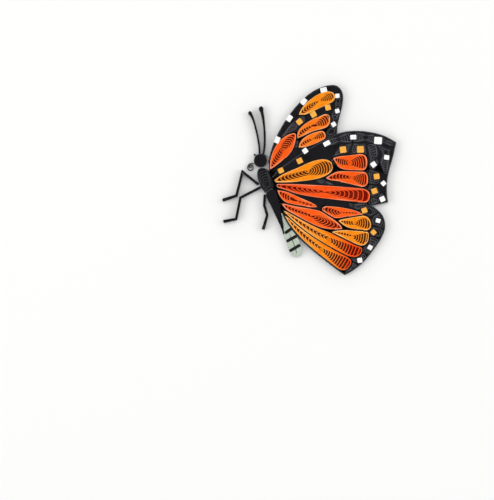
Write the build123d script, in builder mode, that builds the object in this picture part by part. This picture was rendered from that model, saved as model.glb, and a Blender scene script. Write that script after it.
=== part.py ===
from build123d import *
import math
import os

os.makedirs("parts", exist_ok=True)

# A butterfly of quilled paper, lying flat and seen from above: paper strips stand on edge,
# rolled into coils that are pinched to shape and glued side by side.

# Paper and glue, in millimetres
strip_height = 3.0  # width of every strip, which is the height of the butterfly
paper = 0.16  # thickness of one strip
border_paper = 0.34  # two strips glued together round the edge of each wing
glue_gap = 0.04  # between pieces that are glued side by side
turn_pitch = 0.34  # from one turn of an orange coil to the next
black_turn_pitch = 0.36  # from one turn of a black or body coil to the next
fewest_turns = 0.85  # in the narrowest cells
last_part = 0.3  # of a turn, where a coil ends
last_turn = 30.0  # a coil doesn't end just after a sharper turn, degrees
tight_turn_pitch = 0.3  # the head is wound tight
eye_radius = 0.4  # half the width of the hollow left in the middle of a coil
squeezed_corner = 0.5  # how far from its corners a squeezed black coil bends away
sharp_corner = 55.0  # turn above which a corner is squeezed wherever it lies, degrees

# Cut paper on top
trim_thickness = 0.2  # the squares and the bands over the tail

# Layout of the butterfly: one step of the plan below, in millimetres
grid = 1.0

# Head, mouth and limbs
head_radius = 2.5
head_end_angle = 27.0  # where the head's strip ends on the outside, degrees
loose_end_lift = 0.4  # how far the end of the head's strip springs away
loose_end_turns = 0.15  # how much of a turn springs away
palp_angle = 136.0  # where the palp stands on the head, degrees
palp_length = 0.95
palp_width = 0.9
palp_rim = 0.1  # height of the palp's sides at the head
tongue_angle = 215.0  # where the tongue touches the head, degrees
tongue_end_angle = 62.0  # where its spiral ends on the outside, degrees
tongue_radius = 1.45
tongue_turns = 2.3
tongue_paper = 0.3
tongue_eye = 0.3
steps_per_turn = 16  # arcs in a turn of the head and the tongue
antenna_root_width = 0.42
antenna_tip_width = 0.8
leg_width = 0.75
foot_width = 0.95

# The plan: corners of the paper cells, counted in grid steps from the middle of the
# butterfly, x to the right and y up. Cells that lie side by side share corners.
plan = {
    # right side of the body, where the wings are glued on
    "body1": (-15.3, 4.6),
    "body2": (-14.2, 2.9),
    "body3": (-13.3, 1.0),
    "body4": (-12.8, -0.6),
    "body5": (-12.1, -2.4),
    "body6": (-11.2, -5.3),
    "body7": (-10.4, -8.2),
    "body8": (-9.9, -10.6),
    "waist": (-15.7, -4.5),
    "chest1": (-16.9, -2.7),
    "chest2": (-18.2, 0.2),
    "chest3": (-18.4, 2.8),
    "chest4": (-17.9, 4.2),
    "belly1": (-14.2, -7.4),
    "belly2": (-12.1, -11.8),
    "belly3": (-10.2, -15.8),
    "belly4": (-8.9, -19.0),
    "tail1": (-9.6, -11.6),
    "tail2": (-9.5, -13.4),
    "tail3": (-9.0, -15.8),
    "tail4": (-8.0, -21.6),
    "tail5": (-6.9, -25.2),
    "tail6": (-5.4, -27.0),
    "tail7": (-3.6, -26.9),
    "tail8": (-2.4, -25.2),
    "tail9": (-2.9, -22.6),
    "tail10": (-3.9, -20.2),
    # near forewing: leading edge from the root to the tip, then down the margin
    "edge1": (-12.6, 0.9),
    "edge2": (-11.0, 3.0),
    "edge3": (-8.2, 5.1),
    "edge4": (-5.4, 7.1),
    "edge5": (-2.7, 9.0),
    "edge6": (0.2, 10.8),
    "edge7": (3.0, 12.4),
    "edge8": (6.4, 14.3),
    "edge9": (9.6, 15.9),
    "edge10": (12.6, 16.7),
    "edge11": (15.3, 17.0),
    "edge12": (19.4, 16.9),
    "edge13": (23.3, 16.2),
    "edge14": (26.6, 15.2),
    "edge15": (30.2, 13.1),
    "edge16": (29.8, 11.6),
    "edge17": (29.2, 8.4),
    "edge18": (28.0, 4.6),
    "edge19": (27.3, 1.6),
    "edge20": (26.9, -1.9),
    "edge21": (26.9, -4.6),
    "edge22": (27.3, -7.5),
    "edge23": (24.0, -8.2),
    "edge24": (21.2, -8.8),
    # near forewing: the rib under the leading band
    "rib1": (-1.0, 8.4),
    "rib2": (2.6, 10.2),
    "rib3": (6.2, 11.7),
    "rib4": (10.4, 12.7),
    "rib5": (15.3, 13.2),
    "rib6": (19.8, 13.2),
    "rib7": (23.6, 12.7),
    "rib8": (26.8, 12.3),
    # near forewing: round the big orange drop
    "drop1": (-12.6, 0.0),
    "drop2": (-10.2, 1.9),
    "drop3": (-7.2, 3.3),
    "drop4": (-4.2, 4.5),
    "drop5": (-0.4, 6.3),
    "drop6": (2.2, 7.2),
    "drop7": (5.0, 7.7),
    "drop8": (7.6, 7.0),
    "drop9": (8.9, 4.9),
    "drop10": (8.1, 2.6),
    "drop11": (5.2, 0.8),
    "drop12": (1.8, -0.1),
    "drop13": (-2.2, -0.6),
    "drop14": (-6.6, -1.05),
    "drop15": (-11.8, -1.05),
    # near forewing: the two short red coils
    "upper1": (7.9, 7.9),
    "upper2": (10.2, 8.7),
    "upper3": (14.2, 9.0),
    "upper4": (18.4, 9.6),
    "upper5": (20.4, 8.6),
    "upper6": (20.8, 5.8),
    "lower1": (19.9, 3.2),
    "lower2": (16.4, 3.3),
    "lower3": (12.6, 3.45),
    "lower4": (10.4, 4.2),
    "lower5": (8.9, 6.0),
    "lower6": (9.8, 3.4),
    "lower7": (20.9, 1.6),
    "lower8": (20.9, -1.4),
    "lower9": (19.2, -2.75),
    "lower10": (15.2, -1.7),
    "lower11": (11.0, -0.75),
    "lower12": (7.0, -0.3),
    # near forewing: the long red coil
    "long1": (-1.5, -1.25),
    "long2": (4.0, -1.55),
    "long3": (9.6, -1.9),
    "long4": (14.8, -2.35),
    "long5": (21.3, -3.7),
    "long6": (21.7, -6.0),
    "long7": (20.6, -8.1),
    "long8": (13.6, -7.7),
    "long9": (6.4, -6.8),
    "long10": (1.4, -6.2),
    "long11": (-3.6, -5.25),
    "long12": (-6.0, -4.55),
    "long13": (-8.4, -3.6),
    "long14": (-11.6, -2.7),
    # near forewing: between the black coils
    "mid1": (9.6, 10.4),
    "mid2": (20.6, 11.0),
    "mid3": (24.8, 9.2),
    "mid4": (24.7, 5.8),
    "mid5": (22.8, 3.5),
    "mid6": (21.0, 4.2),
    "mid7": (26.2, 2.4),
    "mid8": (24.8, 3.2),
    "mid9": (25.3, 0.6),
    "mid10": (24.2, -1.7),
    "mid11": (25.1, -4.4),
    "mid12": (24.2, -6.4),
    # hind wing: along the near forewing
    "seam1": (-3.6, -5.7),
    "seam2": (1.4, -7.8),
    "seam3": (5.0, -8.8),
    "seam4": (9.6, -9.0),
    "seam5": (14.0, -9.8),
    "seam6": (17.2, -10.7),
    "seam7": (19.6, -9.5),
    # hind wing: round the orange coils
    "front1": (-11.5, -3.15),
    "front2": (4.0, -9.6),
    "front3": (0.2, -9.75),
    "front4": (-5.6, -8.75),
    "front5": (-8.9, -7.9),
    "front6": (-10.85, -5.3),
    "inner1": (-10.05, -8.2),
    "inner2": (3.9, -10.5),
    "inner3": (6.2, -12.0),
    "inner4": (9.0, -13.7),
    "inner5": (11.2, -15.6),
    "inner6": (12.0, -17.2),
    "inner7": (8.4, -17.7),
    "inner8": (3.8, -17.0),
    "inner9": (-0.6, -14.9),
    "inner10": (-5.4, -12.2),
    "inner11": (-8.2, -10.7),
    "outer1": (19.6, -12.1),
    "outer2": (14.6, -12.85),
    "outer3": (11.0, -13.55),
    "outer4": (9.8, -14.2),
    "outer5": (12.9, -16.9),
    "outer6": (17.0, -17.65),
    "outer7": (21.1, -17.8),
    "outer8": (22.2, -16.0),
    "outer9": (21.4, -13.3),
    "outer10": (7.6, -18.3),
    "outer11": (11.6, -20.3),
    "outer12": (16.4, -22.7),
    "outer13": (18.9, -23.5),
    "outer14": (21.0, -22.0),
    "outer15": (21.3, -19.5),
    "stripe1": (-9.5, -10.4),
    "stripe2": (18.9, -25.4),
    "stripe3": (17.2, -27.2),
    "stripe4": (14.2, -27.1),
    "stripe5": (10.0, -25.0),
    "stripe6": (5.0, -22.2),
    "stripe7": (0.6, -19.4),
    "stripe8": (-3.6, -16.2),
    "stripe9": (-7.2, -13.0),
    "stripe10": (15.3, -28.6),
    "stripe11": (14.4, -30.6),
    "stripe12": (12.6, -32.0),
    # hind wing: margin from the near forewing round to the root
    "meeting": (22.04, -9.36),
    "rim1": (22.4, -9.6),
    "rim2": (24.4, -11.1),
    "rim3": (25.9, -13.1),
    "rim4": (26.4, -15.6),
    "rim5": (26.3, -17.0),
    "rim6": (25.9, -18.4),
    "rim7": (25.0, -20.2),
    "rim8": (24.4, -21.3),
    "rim9": (22.2, -24.4),
    "rim10": (20.9, -26.1),
    "rim11": (19.9, -27.4),
    "rim12": (17.4, -29.9),
    "rim13": (14.8, -31.7),
    "rim14": (12.6, -32.9),
    "rim15": (10.4, -31.5),
    "rim16": (5.8, -27.9),
    "rim17": (1.6, -24.6),
    "rim18": (-2.4, -21.0),
    "rim19": (-5.5, -17.5),
    "rim20": (-7.6, -14.6),
    "rim21": (-8.9, -12.0),
    # far forewing: outline from the root round to the near forewing
    "far1": (-13.95, 3.2),
    "far2": (-14.1, 6.2),
    "far3": (-13.3, 9.4),
    "far4": (-12.3, 12.6),
    "far5": (-11.0, 15.6),
    "far6": (-9.4, 18.6),
    "far7": (-7.6, 21.4),
    "far8": (-5.6, 24.2),
    "far9": (-3.0, 27.2),
    "far10": (-0.2, 29.8),
    "far11": (3.2, 31.9),
    "far12": (6.6, 33.0),
    "far13": (9.6, 33.1),
    "far14": (11.3, 31.2),
    "far15": (11.7, 28.6),
    "far16": (11.1, 25.2),
    "far17": (10.3, 22.2),
    "far18": (9.6, 19.4),
    # far forewing: inside
    "root1": (-13.0, 3.1),
    "root2": (-11.6, 4.7),
    "root3": (-9.2, 6.6),
    "root4": (-7.0, 8.7),
    "root5": (-5.3, 11.1),
    "root6": (-4.4, 14.3),
    "root7": (-4.3, 17.0),
    "root8": (-7.6, 16.3),
    "root9": (-10.3, 14.3),
    "root10": (-12.0, 12.2),
    "band1": (-8.8, 16.9),
    "band2": (-7.2, 19.4),
    "band3": (-5.4, 21.9),
    "band4": (-4.2, 22.6),
    "band5": (-3.2, 25.0),
    "band6": (-1.4, 27.2),
    "band7": (1.0, 29.2),
    "band8": (3.7, 30.8),
    "band9": (6.5, 31.6),
    "band10": (8.8, 31.0),
    "band11": (9.5, 29.2),
    "band12": (8.8, 27.5),
    "band13": (6.2, 26.2),
    "band14": (2.4, 24.5),
    "band15": (-1.4, 22.7),
    "centre1": (-3.2, 18.6),
    "centre2": (-1.0, 20.4),
    "centre3": (2.0, 22.0),
    "centre4": (5.6, 23.7),
    "centre5": (7.5, 23.1),
    "centre6": (7.8, 20.6),
    "centre7": (6.8, 18.5),
    "centre8": (4.6, 17.7),
    "centre9": (1.2, 16.9),
    "centre10": (-1.4, 15.6),
    "centre11": (-3.4, 13.8),
    "centre12": (8.9, 25.0),
    "small1": (-4.2, 11.0),
    "small2": (5.9, 16.8),
    "small3": (-1.0, 11.5),
}

# Outlines of the wings and the cells, as corners of the plan. A star marks a pinched corner.
near_outline = [f"edge{k}" for k in range(1, 25)]
hind_outline = ["meeting"] + [f"rim{k}" for k in range(1, 22)]
far_outline = [f"far{k}" for k in range(2, 19)] + ["beside9"]
pinched_outline_corners = ["edge15", "edge22", "rim14"]

orange_cells = {
    "far_forewing_tip_coil": """band4* band15 band14 band13 band12 band11 band10 band9
        band8 band7 band6 band5""",
    "far_forewing_centre_coil": """root6* centre10 centre9 centre8 centre7 centre6
        centre5 centre4 centre3 centre2 centre1 root7""",
    "far_forewing_small_coil": """small1* small3 beside7 beside8 small2 centre8 centre9
        centre10 centre11""",
    "far_forewing_root_coil": """far1* root2 root3 root4 root5 root6 root7 root8 root9
        root10 far3 far2""",
    "near_forewing_drop_coil": """drop1* drop15 drop14 drop13 drop12 drop11 drop10 drop9
        drop8 drop7 drop6 drop5 drop4 drop3 drop2""",
    "near_forewing_upper_coil": """upper1* lower5 lower4 lower3 lower2 lower1 upper6 upper5
        upper4 upper3 upper2""",
    "near_forewing_lower_coil": """drop11* lower12 lower11 lower10 lower9 lower8 lower7
        lower1 lower2 lower3 lower6 drop10""",
    "near_forewing_long_coil": """drop15 long14 long13 long12 long11 long10 long9 long8
        long7 long6 long5 lower9 long4 long3 long2 long1 drop14""",
    "hind_wing_front_coil": """front1* front6 front5 front4 front3 front2* seam2 seam1
        long12 long13""",
    "hind_wing_upper_coil": """outer1* seam6 seam5 seam4 seam3 inner2 inner3 inner4 outer3
        outer2""",
    "hind_wing_centre_coil": """inner1* inner11 inner10 inner9 inner8 inner7 inner6* inner5
        inner4 inner3 inner2 front3 front4 front5""",
    "hind_wing_outer_coil": """outer4* outer5 outer6 outer7 outer8 outer9 outer1 outer2
        outer3""",
    "hind_wing_lower_coil": """outer10* outer11 outer12 outer13 outer14 outer15 outer7
        outer6 inner6 inner7""",
    "hind_wing_upper_stripe_coil": """stripe1* stripe9 stripe8 stripe7 stripe6 stripe5
        stripe4 stripe3 stripe2 outer13 outer12 outer11 outer10 inner8 inner9 inner10
        inner11""",
    "hind_wing_lower_stripe_coil": """rim21* rim20 rim19 rim18 rim17 rim16 rim15 stripe12
        stripe11 stripe10 stripe4 stripe5 stripe6 stripe7 stripe8 stripe9""",
}

black_cells = {
    "far_forewing_leading_coils": [
        "far3* root10 root9 band1 far6 far5 far4",
        "far6 band1 band2 band3 band4 far8 far7",
        "far8 band4 band5 band6 far10 far9",
        "far10 band6 band7 band8 far11",
    ],
    "far_forewing_tip_coils": [
        "far11 band8 band9 band10 band11 far14 far13 far12",
        "far14 band11 band12 centre12 far16 far15",
    ],
    "far_forewing_middle_coils": [
        "root9* root8 root7 centre1 centre2 band15 band4 band3 band2 band1",
        "band15 centre2 centre3 centre4 centre5 centre12 band12 band13 band14",
    ],
    "far_forewing_margin_coils": [
        "centre12 centre5 centre6 centre7 far18 far17 far16",
        "centre7 small2 beside8 beside9 far18",
    ],
    "far_forewing_rear_coil": ["small1* beside5 beside6 beside7* small3"],
    "far_forewing_root_black_coil": [
        "root1* beside2 beside3 beside4 beside5 small1 root5 root4 root3 root2",
    ],
    "near_forewing_leading_coil": ["edge5* rib1 rib2 rib3 edge8 edge7 edge6"],
    "near_forewing_leading_middle_coils": [
        "edge8 rib3 rib4 rib5 edge11 edge10 edge9",
        "edge11 rib5 rib6 rib7 edge13 edge12",
    ],
    "near_forewing_tip_coil": ["edge13 rib7 rib8 edge16 edge15* edge14"],
    "near_forewing_root_black_coil": [
        "edge1* drop2 drop3 drop4 rib1 edge5 edge4 edge3 edge2",
    ],
    "near_forewing_inner_coil": [
        "drop4* drop5 drop6 drop7 drop8 upper1 mid1 rib4 rib3 rib2 rib1",
    ],
    "near_forewing_middle_coils": [
        "mid1 upper1 upper2 upper3 rib5 rib4",
        "rib5 upper3 upper4 upper5 mid2 rib6",
    ],
    "near_forewing_tip_inner_coil": ["rib6 mid2 upper5 upper6 mid6 mid5* mid4 mid3 rib7"],
    "near_forewing_tip_outer_coil": ["rib7 mid3 mid4 mid7* edge19 edge18 edge17 edge16 rib8"],
    "near_forewing_margin_coils": [
        "lower1 lower7 lower8 mid10 mid9 mid8 mid5 mid6",
        "mid8 mid9 mid10 mid11 edge21 edge20 edge19 mid7",
    ],
    "near_forewing_corner_coils": [
        "lower9 long5 long6 mid12 mid11 mid10 lower8",
        "mid11 mid12 long6 long7 edge24 edge23 edge22* edge21",
    ],
    "near_forewing_slot_coils": [
        "drop14* long1 long2 drop12 drop13",
        "drop12 long2 long3 lower12 drop11",
        "lower12 long3 long4 lower9 lower10 lower11",
    ],
    "near_forewing_rear_coils": [
        "long12* seam1 seam2 seam3 long9 long10 long11",
        "long9 seam3 seam4 seam5 long8",
        "long8 seam5 seam6 seam7 edge24 long7",
    ],
    "hind_wing_margin_upper_coils": [
        "seam6 outer1 outer9 rim2 rim1 edge24 seam7",
        "outer9 outer8 rim5 rim4 rim3 rim2",
    ],
    "hind_wing_margin_middle_coils": [
        "outer8 outer7 outer15 rim7 rim6 rim5",
        "outer15 outer14 outer13 stripe2 rim10 rim9 rim8 rim7",
    ],
    "hind_wing_margin_lower_coils": [
        "stripe2 stripe3 stripe4 stripe10 rim12 rim11 rim10",
        "stripe10 stripe11 stripe12 rim14* rim13 rim12",
    ],
}

body_cells = {
    "thorax": "waist* body5 body4 body3 body2 body1 chest4 chest3 chest2 chest1",
    "abdomen": """belly4* tail3 tail2 tail1 body8 body7 body6 body5 waist belly1 belly2
        belly3""",
    "tail_coil": """tail1* tail2 tail3 belly4 tail4 tail5 tail6 tail7 tail8 tail9 tail10
        flank19 flank20 flank21""",
}

# Paper squares: x, y in grid steps, two sides in millimetres, turn in degrees
white_squares = {
    "far_forewing_white_squares": [
        (5.1, 31.7, 2.3, 1.7, 12),
        (-1.9, 27.6, 2.3, 1.7, 50),
        (-6.9, 21.7, 2.3, 1.7, 55),
        (-11.2, 14.1, 2.3, 1.7, 65),
        (9.9, 29.6, 1.5, 1.5, 5),
        (9.9, 24.3, 1.5, 1.5, 15),
        (8.6, 19.6, 1.6, 1.6, 30),
        (-1.4, 10.3, 1.8, 1.8, 35),
    ],
    "near_forewing_white_squares": [
        (6.2, 12.9, 2.4, 1.6, 28),
        (15.5, 15.1, 2.1, 1.6, 3),
        (24.2, 13.9, 2.7, 2.5, -4),
        (27.2, 8.0, 1.8, 1.6, -8),
        (22.6, 5.5, 1.8, 1.8, 35),
        (26.1, -1.1, 1.6, 1.6, 40),
        (25.7, -6.6, 1.8, 1.8, 25),
    ],
    "hind_wing_white_squares": [
        (24.2, -14.2, 1.6, 1.5, -15),
        (21.4, -23.6, 1.6, 1.6, -30),
        (17.8, -28.1, 1.7, 1.7, 8),
    ],
}
orange_squares = {
    "far_forewing_orange_squares": [
        (6.6, 25.5, 1.9, 1.9, 15),
        (1.5, 23.1, 2.0, 2.0, 30),
        (-3.4, 20.5, 2.0, 1.9, 38),
    ],
    "near_forewing_orange_squares": [
        (-9.9, 3.4, 1.9, 1.8, 25),
        (-3.3, 6.8, 2.0, 1.9, 25),
        (11.9, 10.7, 2.2, 2.2, 8),
        (18.0, 10.8, 2.4, 2.3, 2),
        (23.7, 1.3, 2.0, 1.9, 8),
        (22.9, -3.8, 2.0, 1.9, 20),
    ],
    "hind_wing_orange_squares": [
        (19.4, -10.6, 1.9, 1.8, 20),
        (22.6, -18.3, 1.7, 1.7, 42),
    ],
}

# Bands over the tail: two ends in grid steps, width in millimetres
tail_band_width = 0.85
tail_bands = [
    ((-8.5, -18.6), (-5.9, -16.8)),
    ((-7.9, -21.5), (-4.3, -19.5)),
    ((-6.9, -24.9), (-3.1, -22.7)),
]

# Antennae: places along the middle of the strip after the head, in grid steps
antennae = {
    "left_antenna": [(-17.7, 13.2), (-18.2, 16.0), (-19.0, 19.4), (-20.0, 22.4), (-20.7, 23.6)],
    "right_antenna": [(-15.6, 12.5), (-15.55, 15.5), (-15.75, 18.9), (-16.2, 22.4), (-16.8, 25.1)],
}
antenna_angles = {"left_antenna": 98, "right_antenna": 68}  # where they leave the head

# Legs: knee, ankle and foot in grid steps, after the hip on the body
legs = {
    "front_leg": [(-23.4, 3.0), (-25.5, -5.4), (-30.3, -7.0)],
    "middle_leg": [(-24.1, -6.1), (-25.6, -13.6), (-30.0, -14.5)],
    "hind_leg": [(-15.75, -8.7), (-14.7, -12.3), (-16.1, -17.2)],
}
hind_hip = (-15.55, -5.05)


clear_of_tip = 1.2  # a coil starts this much further from a pinched tip than it must
longest_loop = 12  # stations in a loop that a tight bend leaves on the inside
straight_enough = 0.01  # turn below which a stretch is drawn straight, radians


# Working out the curves: a track is a list of places, each with the heading there
def at(point):
    """A place on the plan, in millimetres."""
    x, y = point
    return Vector(x * grid, y * grid)


def left_of(heading):
    """The direction a quarter turn to the left."""
    return Vector(-heading.Y, heading.X)


def beside(chain, distance):
    """The corners of a chain, moved to its left by a distance in millimetres."""
    places = [at(plan[name]) for name in chain]
    moved = []
    for k, place in enumerate(places):
        before, after = places[max(k - 1, 0)], places[min(k + 1, len(places) - 1)]
        shifted = place + left_of((after - before).normalized()) * distance
        moved.append((shifted.X / grid, shifted.Y / grid))
    return moved


def corners_of(cell):
    """The corners of a cell, counter-clockwise: name, place and whether it is pinched."""
    names = [word.strip("*") for word in cell.split()]
    places = [at(plan[name]) for name in names]
    corners = list(zip(names, places, [word.endswith("*") for word in cell.split()]))
    area = sum(a.X * b.Y - b.X * a.Y for a, b in zip(places, places[1:] + places[:1]))
    return corners if area > 0 else corners[:1] + corners[:0:-1]


def bend(start, corner, end):
    """The stations where an arc that rounds a corner starts and ends."""
    arriving, leaving = (corner - start).normalized(), (end - corner).normalized()
    reach = min((corner - start).length, (end - corner).length)
    return (corner - arriving * reach, arriving), (corner + leaving * reach, leaving)


def crease(start, corner, end):
    """The stations at a pinched corner, with the heading before it and the one after it."""
    return (corner, (corner - start).normalized()), (corner, (end - corner).normalized())


def hollow_corners():
    """The names of the corners where some cell bends inwards."""
    names = set()
    for cell in all_cells:
        corners = corners_of(cell)
        for k, (name, corner, pinched) in enumerate(corners):
            into = corner - corners[k - 1][1]
            out = corners[(k + 1) % len(corners)][1] - corner
            if into.cross(out).Z < 0:
                names.add(name)
    return names


def walk(cell, squeezed=False):
    """The track round a cell, counter-clockwise from its first corner. It touches the middle
    of each side, and a squeezed cell also fills its corners where no other cell needs them."""
    corners = corners_of(cell)
    track = []
    for k, (name, corner, pinched) in enumerate(corners):
        to_last = (corners[k - 1][1] - corner) / 2
        to_next = (corners[(k + 1) % len(corners)][1] - corner) / 2
        sharp = to_last.get_angle(-to_next) > sharp_corner
        if squeezed and (sharp or name not in round_corners):
            to_last = to_last * min(1, squeezed_corner / to_last.length)
            to_next = to_next * min(1, squeezed_corner / to_next.length)
        round_it = crease if pinched else bend
        track += round_it(corner + to_last, corner, corner + to_next)
    track = track[1:] + track[:1]
    return [s for k, s in enumerate(track) if not same_station(track[k - 1], s)]


def walk_chain(chain):
    """The track along an open chain of corners, from the first to the last."""
    places = [at(plan[name]) for name in chain]
    middles = [(here + there) / 2 for here, there in zip(places, places[1:])]
    track = [(places[0], (places[1] - places[0]).normalized())]
    for name, start, corner, end in zip(chain[1:], middles, places[1:], middles[1:]):
        round_it = crease if name in pinched_outline_corners else bend
        track += round_it(start, corner, end)
    track.append((places[-1], (places[-1] - places[-2]).normalized()))
    return [s for k, s in enumerate(track) if k == 0 or not same_station(track[k - 1], s)]


def same_station(here, there):
    """Whether two stations agree in place and heading."""
    return (here[0] - there[0]).length < 1e-6 and (here[1] - there[1]).length < 1e-6


def is_crease(here, there):
    """Whether two stations are the same place, with a heading before and one after it."""
    return (here[0] - there[0]).length < 1e-6


def crossing_of(start, end, other_start, other_end):
    """The place where two straight stretches cross, or None."""
    along, other_along = end - start, other_end - other_start
    both = along.cross(other_along).Z
    if abs(both) < 1e-9:
        return None
    share = (other_start - start).cross(other_along).Z / both
    other_share = (other_start - start).cross(along).Z / both
    if 0 < share < 1 and 0 < other_share < 1:
        return start + along * share
    return None


def without_loops(track):
    """A track without the small loops that form inside its tightest bends."""
    kept, k = [track[0]], 0
    while k < len(track) - 1:
        here, there = track[k][0], track[k + 1][0]
        for n in range(min(k + longest_loop, len(track) - 2), k + 1, -1):
            place = crossing_of(here, there, track[n][0], track[n + 1][0])
            if place:
                leaving = (track[n + 1][0] - track[n][0]).normalized()
                kept += [(place, (there - here).normalized()), (place, leaving)]
                k = n
                break
        k += 1
        kept.append(track[k])
    return kept


def inset(track, distance, closed=True):
    """A track moved to its left. Creases stay sharp."""
    moved = [(place + left_of(heading) * distance, heading) for place, heading in track]
    for k in range(0 if closed else 1, len(track)):
        (place, arriving), leaving = track[k - 1], track[k][1]
        if is_crease(track[k - 1], track[k]) and arriving.cross(leaving).Z < 0:
            both = left_of(arriving) + left_of(leaving)
            corner = place + both * (distance / (1 + arriving.dot(leaving)))
            moved[k - 1], moved[k] = (corner, arriving), (corner, leaving)
    if not closed:
        return without_loops(moved)
    folds = [track[k][0] for k in range(len(track)) if is_crease(track[k - 1], track[k])]
    fold_distances = [
        min(((place - fold).length for fold in folds), default=0) for place, heading in track
    ]
    calm = fold_distances.index(max(fold_distances))
    kept = without_loops(moved[calm:] + moved[: calm + 1])[:-1]
    start = min(range(len(kept)), key=lambda k: ((kept[k][0] - track[0][0]).length, -k))
    return kept[start:] + kept[:start]


def middle(track):
    """The middle of the area that a track goes round."""
    places = [place for place, heading in track]
    sides = list(zip(places, places[1:] + places[:1]))
    crosses = [a.X * b.Y - b.X * a.Y for a, b in sides]
    total = Vector(0, 0)
    for (a, b), cross in zip(sides, crosses):
        total += (a + b) * cross
    return total / (3 * sum(crosses))


def room_at(eye, track):
    """How near the lines along the sides of a track come to a place inside it."""
    return min((eye - place).dot(left_of(heading)) for place, heading in track)


def roomiest(track):
    """The place inside a track that is furthest from the lines along its sides."""
    eye, step = middle(track), 1.0
    while step > 0.05:
        moves = [eye + Vector(x, y) * step for x, y in ((1, 0), (0, 1), (-1, 0), (0, -1))]
        best = max(moves, key=lambda place: room_at(place, track))
        if room_at(best, track) > room_at(eye, track):
            eye = best
        else:
            step = step / 2
    return eye


def spiral(track, pitch):
    """A track that goes round and round towards an eye: each turn is the one before, drawn
    smaller, and lies one pitch inside it where the cell is narrowest."""
    eye = roomiest(track)
    half_width = room_at(eye, track)
    pitch = min(pitch, half_width - paper)
    turns = max(math.floor((half_width - eye_radius) / pitch) + last_part, fewest_turns)
    steps = [(there[0] - here[0]).length for here, there in zip(track, track[1:] + track[:1])]
    wound = []
    for turn in range(math.ceil(turns)):
        for k, (place, heading) in enumerate(track):
            done = turn + sum(steps[:k]) / sum(steps)
            if done <= turns:
                wound.append((eye + (place - eye) * (1 - done * pitch / half_width), heading))
    while wound[-2][1].get_angle(wound[-1][1]) > last_turn:
        wound.pop()
    return wound


def coil_track(cell, spacing, pitch, squeezed=False):
    """The strip of a coil that fills a cell, a spacing inside the cell's outline."""
    outside = inset(walk(cell, squeezed), spacing)
    wound = spiral(outside, pitch)
    if not is_crease(outside[-1], outside[0]):
        return wound
    (tip, out), into = outside[0], outside[-1][1]
    start = tip + out * (clear_of_tip * paper * math.tan(math.acos(into.dot(out)) / 2))
    beyond = [k for k, (place, heading) in enumerate(wound) if (place - start).dot(out) > 0]
    return [(start, out)] + wound[beyond[0]:]


def round_track(centre, radius_at, start_angle, turns):
    """A track round a centre, where the radius depends on the turns made."""
    count = round(turns * steps_per_turn)
    places = []
    for k in range(count + 1):
        angle = math.radians(start_angle) + 2 * math.pi * turns * k / count
        radius = radius_at(turns * k / count)
        places.append(centre + Vector(math.cos(angle), math.sin(angle)) * radius)
    around = [places[0]] + places + [places[-1]]
    headings = [(after - before).normalized() for before, after in zip(around, around[2:])]
    return list(zip(places, headings))


def closed(track):
    """A track that ends where it starts."""
    return track if is_crease(track[-1], track[0]) else track + track[:1]


def side(track):
    """The edges along a side of a strip: lines, and arcs where its heading turns."""
    edges = []
    for (here, heading), (there, next_heading) in zip(track, track[1:]):
        along = there - here
        turn = math.atan2(heading.cross(next_heading).Z, heading.dot(next_heading))
        if along.length < 1e-6:
            continue
        if abs(turn) < straight_enough:
            edges.append(Edge.make_line(here, there))
        else:
            bulge = left_of(along) * (math.tan(turn / 4) / 2)
            edges.append(Edge.make_three_point_arc(here, (here + there) / 2 - bulge, there))
    return edges


def strip(track, thickness):
    """The edges round a strip that stands on its long edge along a track, with its
    thickness to the left."""
    other_side = inset(track, thickness, closed=False)
    start = Edge.make_line(track[0][0], other_side[0][0])
    end = Edge.make_line(track[-1][0], other_side[-1][0])
    return side(track) + [end] + side(other_side) + [start]


def save(part, name):
    """Names a finished piece and writes its file."""
    part.label = name
    export_step(part, f"parts/{name}.step")


# Corners beside the edge strips of the near forewing and the hind wing
besides = beside(near_outline, border_paper + 2 * glue_gap)
plan.update({f"beside{k}": place for k, place in enumerate(besides, 1)})
flanks = beside(hind_outline, border_paper + glue_gap)
plan.update({f"flank{k}": place for k, place in enumerate(flanks)})

# Where cells bend inwards, and round the wings, every cell cuts its corners alike
all_cells = list(orange_cells.values()) + list(body_cells.values())
all_cells += [cell for cells in black_cells.values() for cell in cells]
round_corners = hollow_corners() | set(near_outline + hind_outline + far_outline)

# Orange coils, each inside its black wrap
coil_spacing = glue_gap / 2 + paper + glue_gap
for name, cell in orange_cells.items():
    with BuildPart() as orange_coil:
        with BuildSketch():
            with BuildLine():
                add(strip(coil_track(cell, coil_spacing, turn_pitch), paper))
            make_face()
        extrude(amount=strip_height)
    save(orange_coil.part, name)

# Black wraps: one strip round each orange coil, closed at its pinched corner
for wing in ("far_forewing", "near_forewing", "hind_wing"):
    with BuildPart() as wraps:
        for name, cell in orange_cells.items():
            if name.startswith(wing):
                with BuildSketch():
                    with BuildLine():
                        add(side(closed(inset(walk(cell), glue_gap / 2))))
                    make_face()
                    with BuildLine():
                        add(side(closed(inset(walk(cell), glue_gap / 2 + paper))))
                    make_face(mode=Mode.SUBTRACT)
        extrude(amount=strip_height)
    save(wraps.part, f"{wing}_wraps")

# Black coils that fill the rest of the wings
for name, cells in black_cells.items():
    with BuildPart() as black_coils:
        for cell in cells:
            with BuildSketch():
                with BuildLine():
                    add(strip(coil_track(cell, glue_gap / 2, black_turn_pitch, True), paper))
                make_face()
        extrude(amount=strip_height)
    save(black_coils.part, name)

# Edge strips round each wing
outlines = {
    "near_forewing_border": near_outline,
    "hind_wing_border": hind_outline,
    "far_forewing_border": far_outline,
}
for name, chain in outlines.items():
    with BuildPart() as border:
        with BuildSketch():
            with BuildLine():
                add(strip(inset(walk_chain(chain), glue_gap / 2, closed=False), border_paper))
            make_face()
        extrude(amount=strip_height)
    save(border.part, name)

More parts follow.
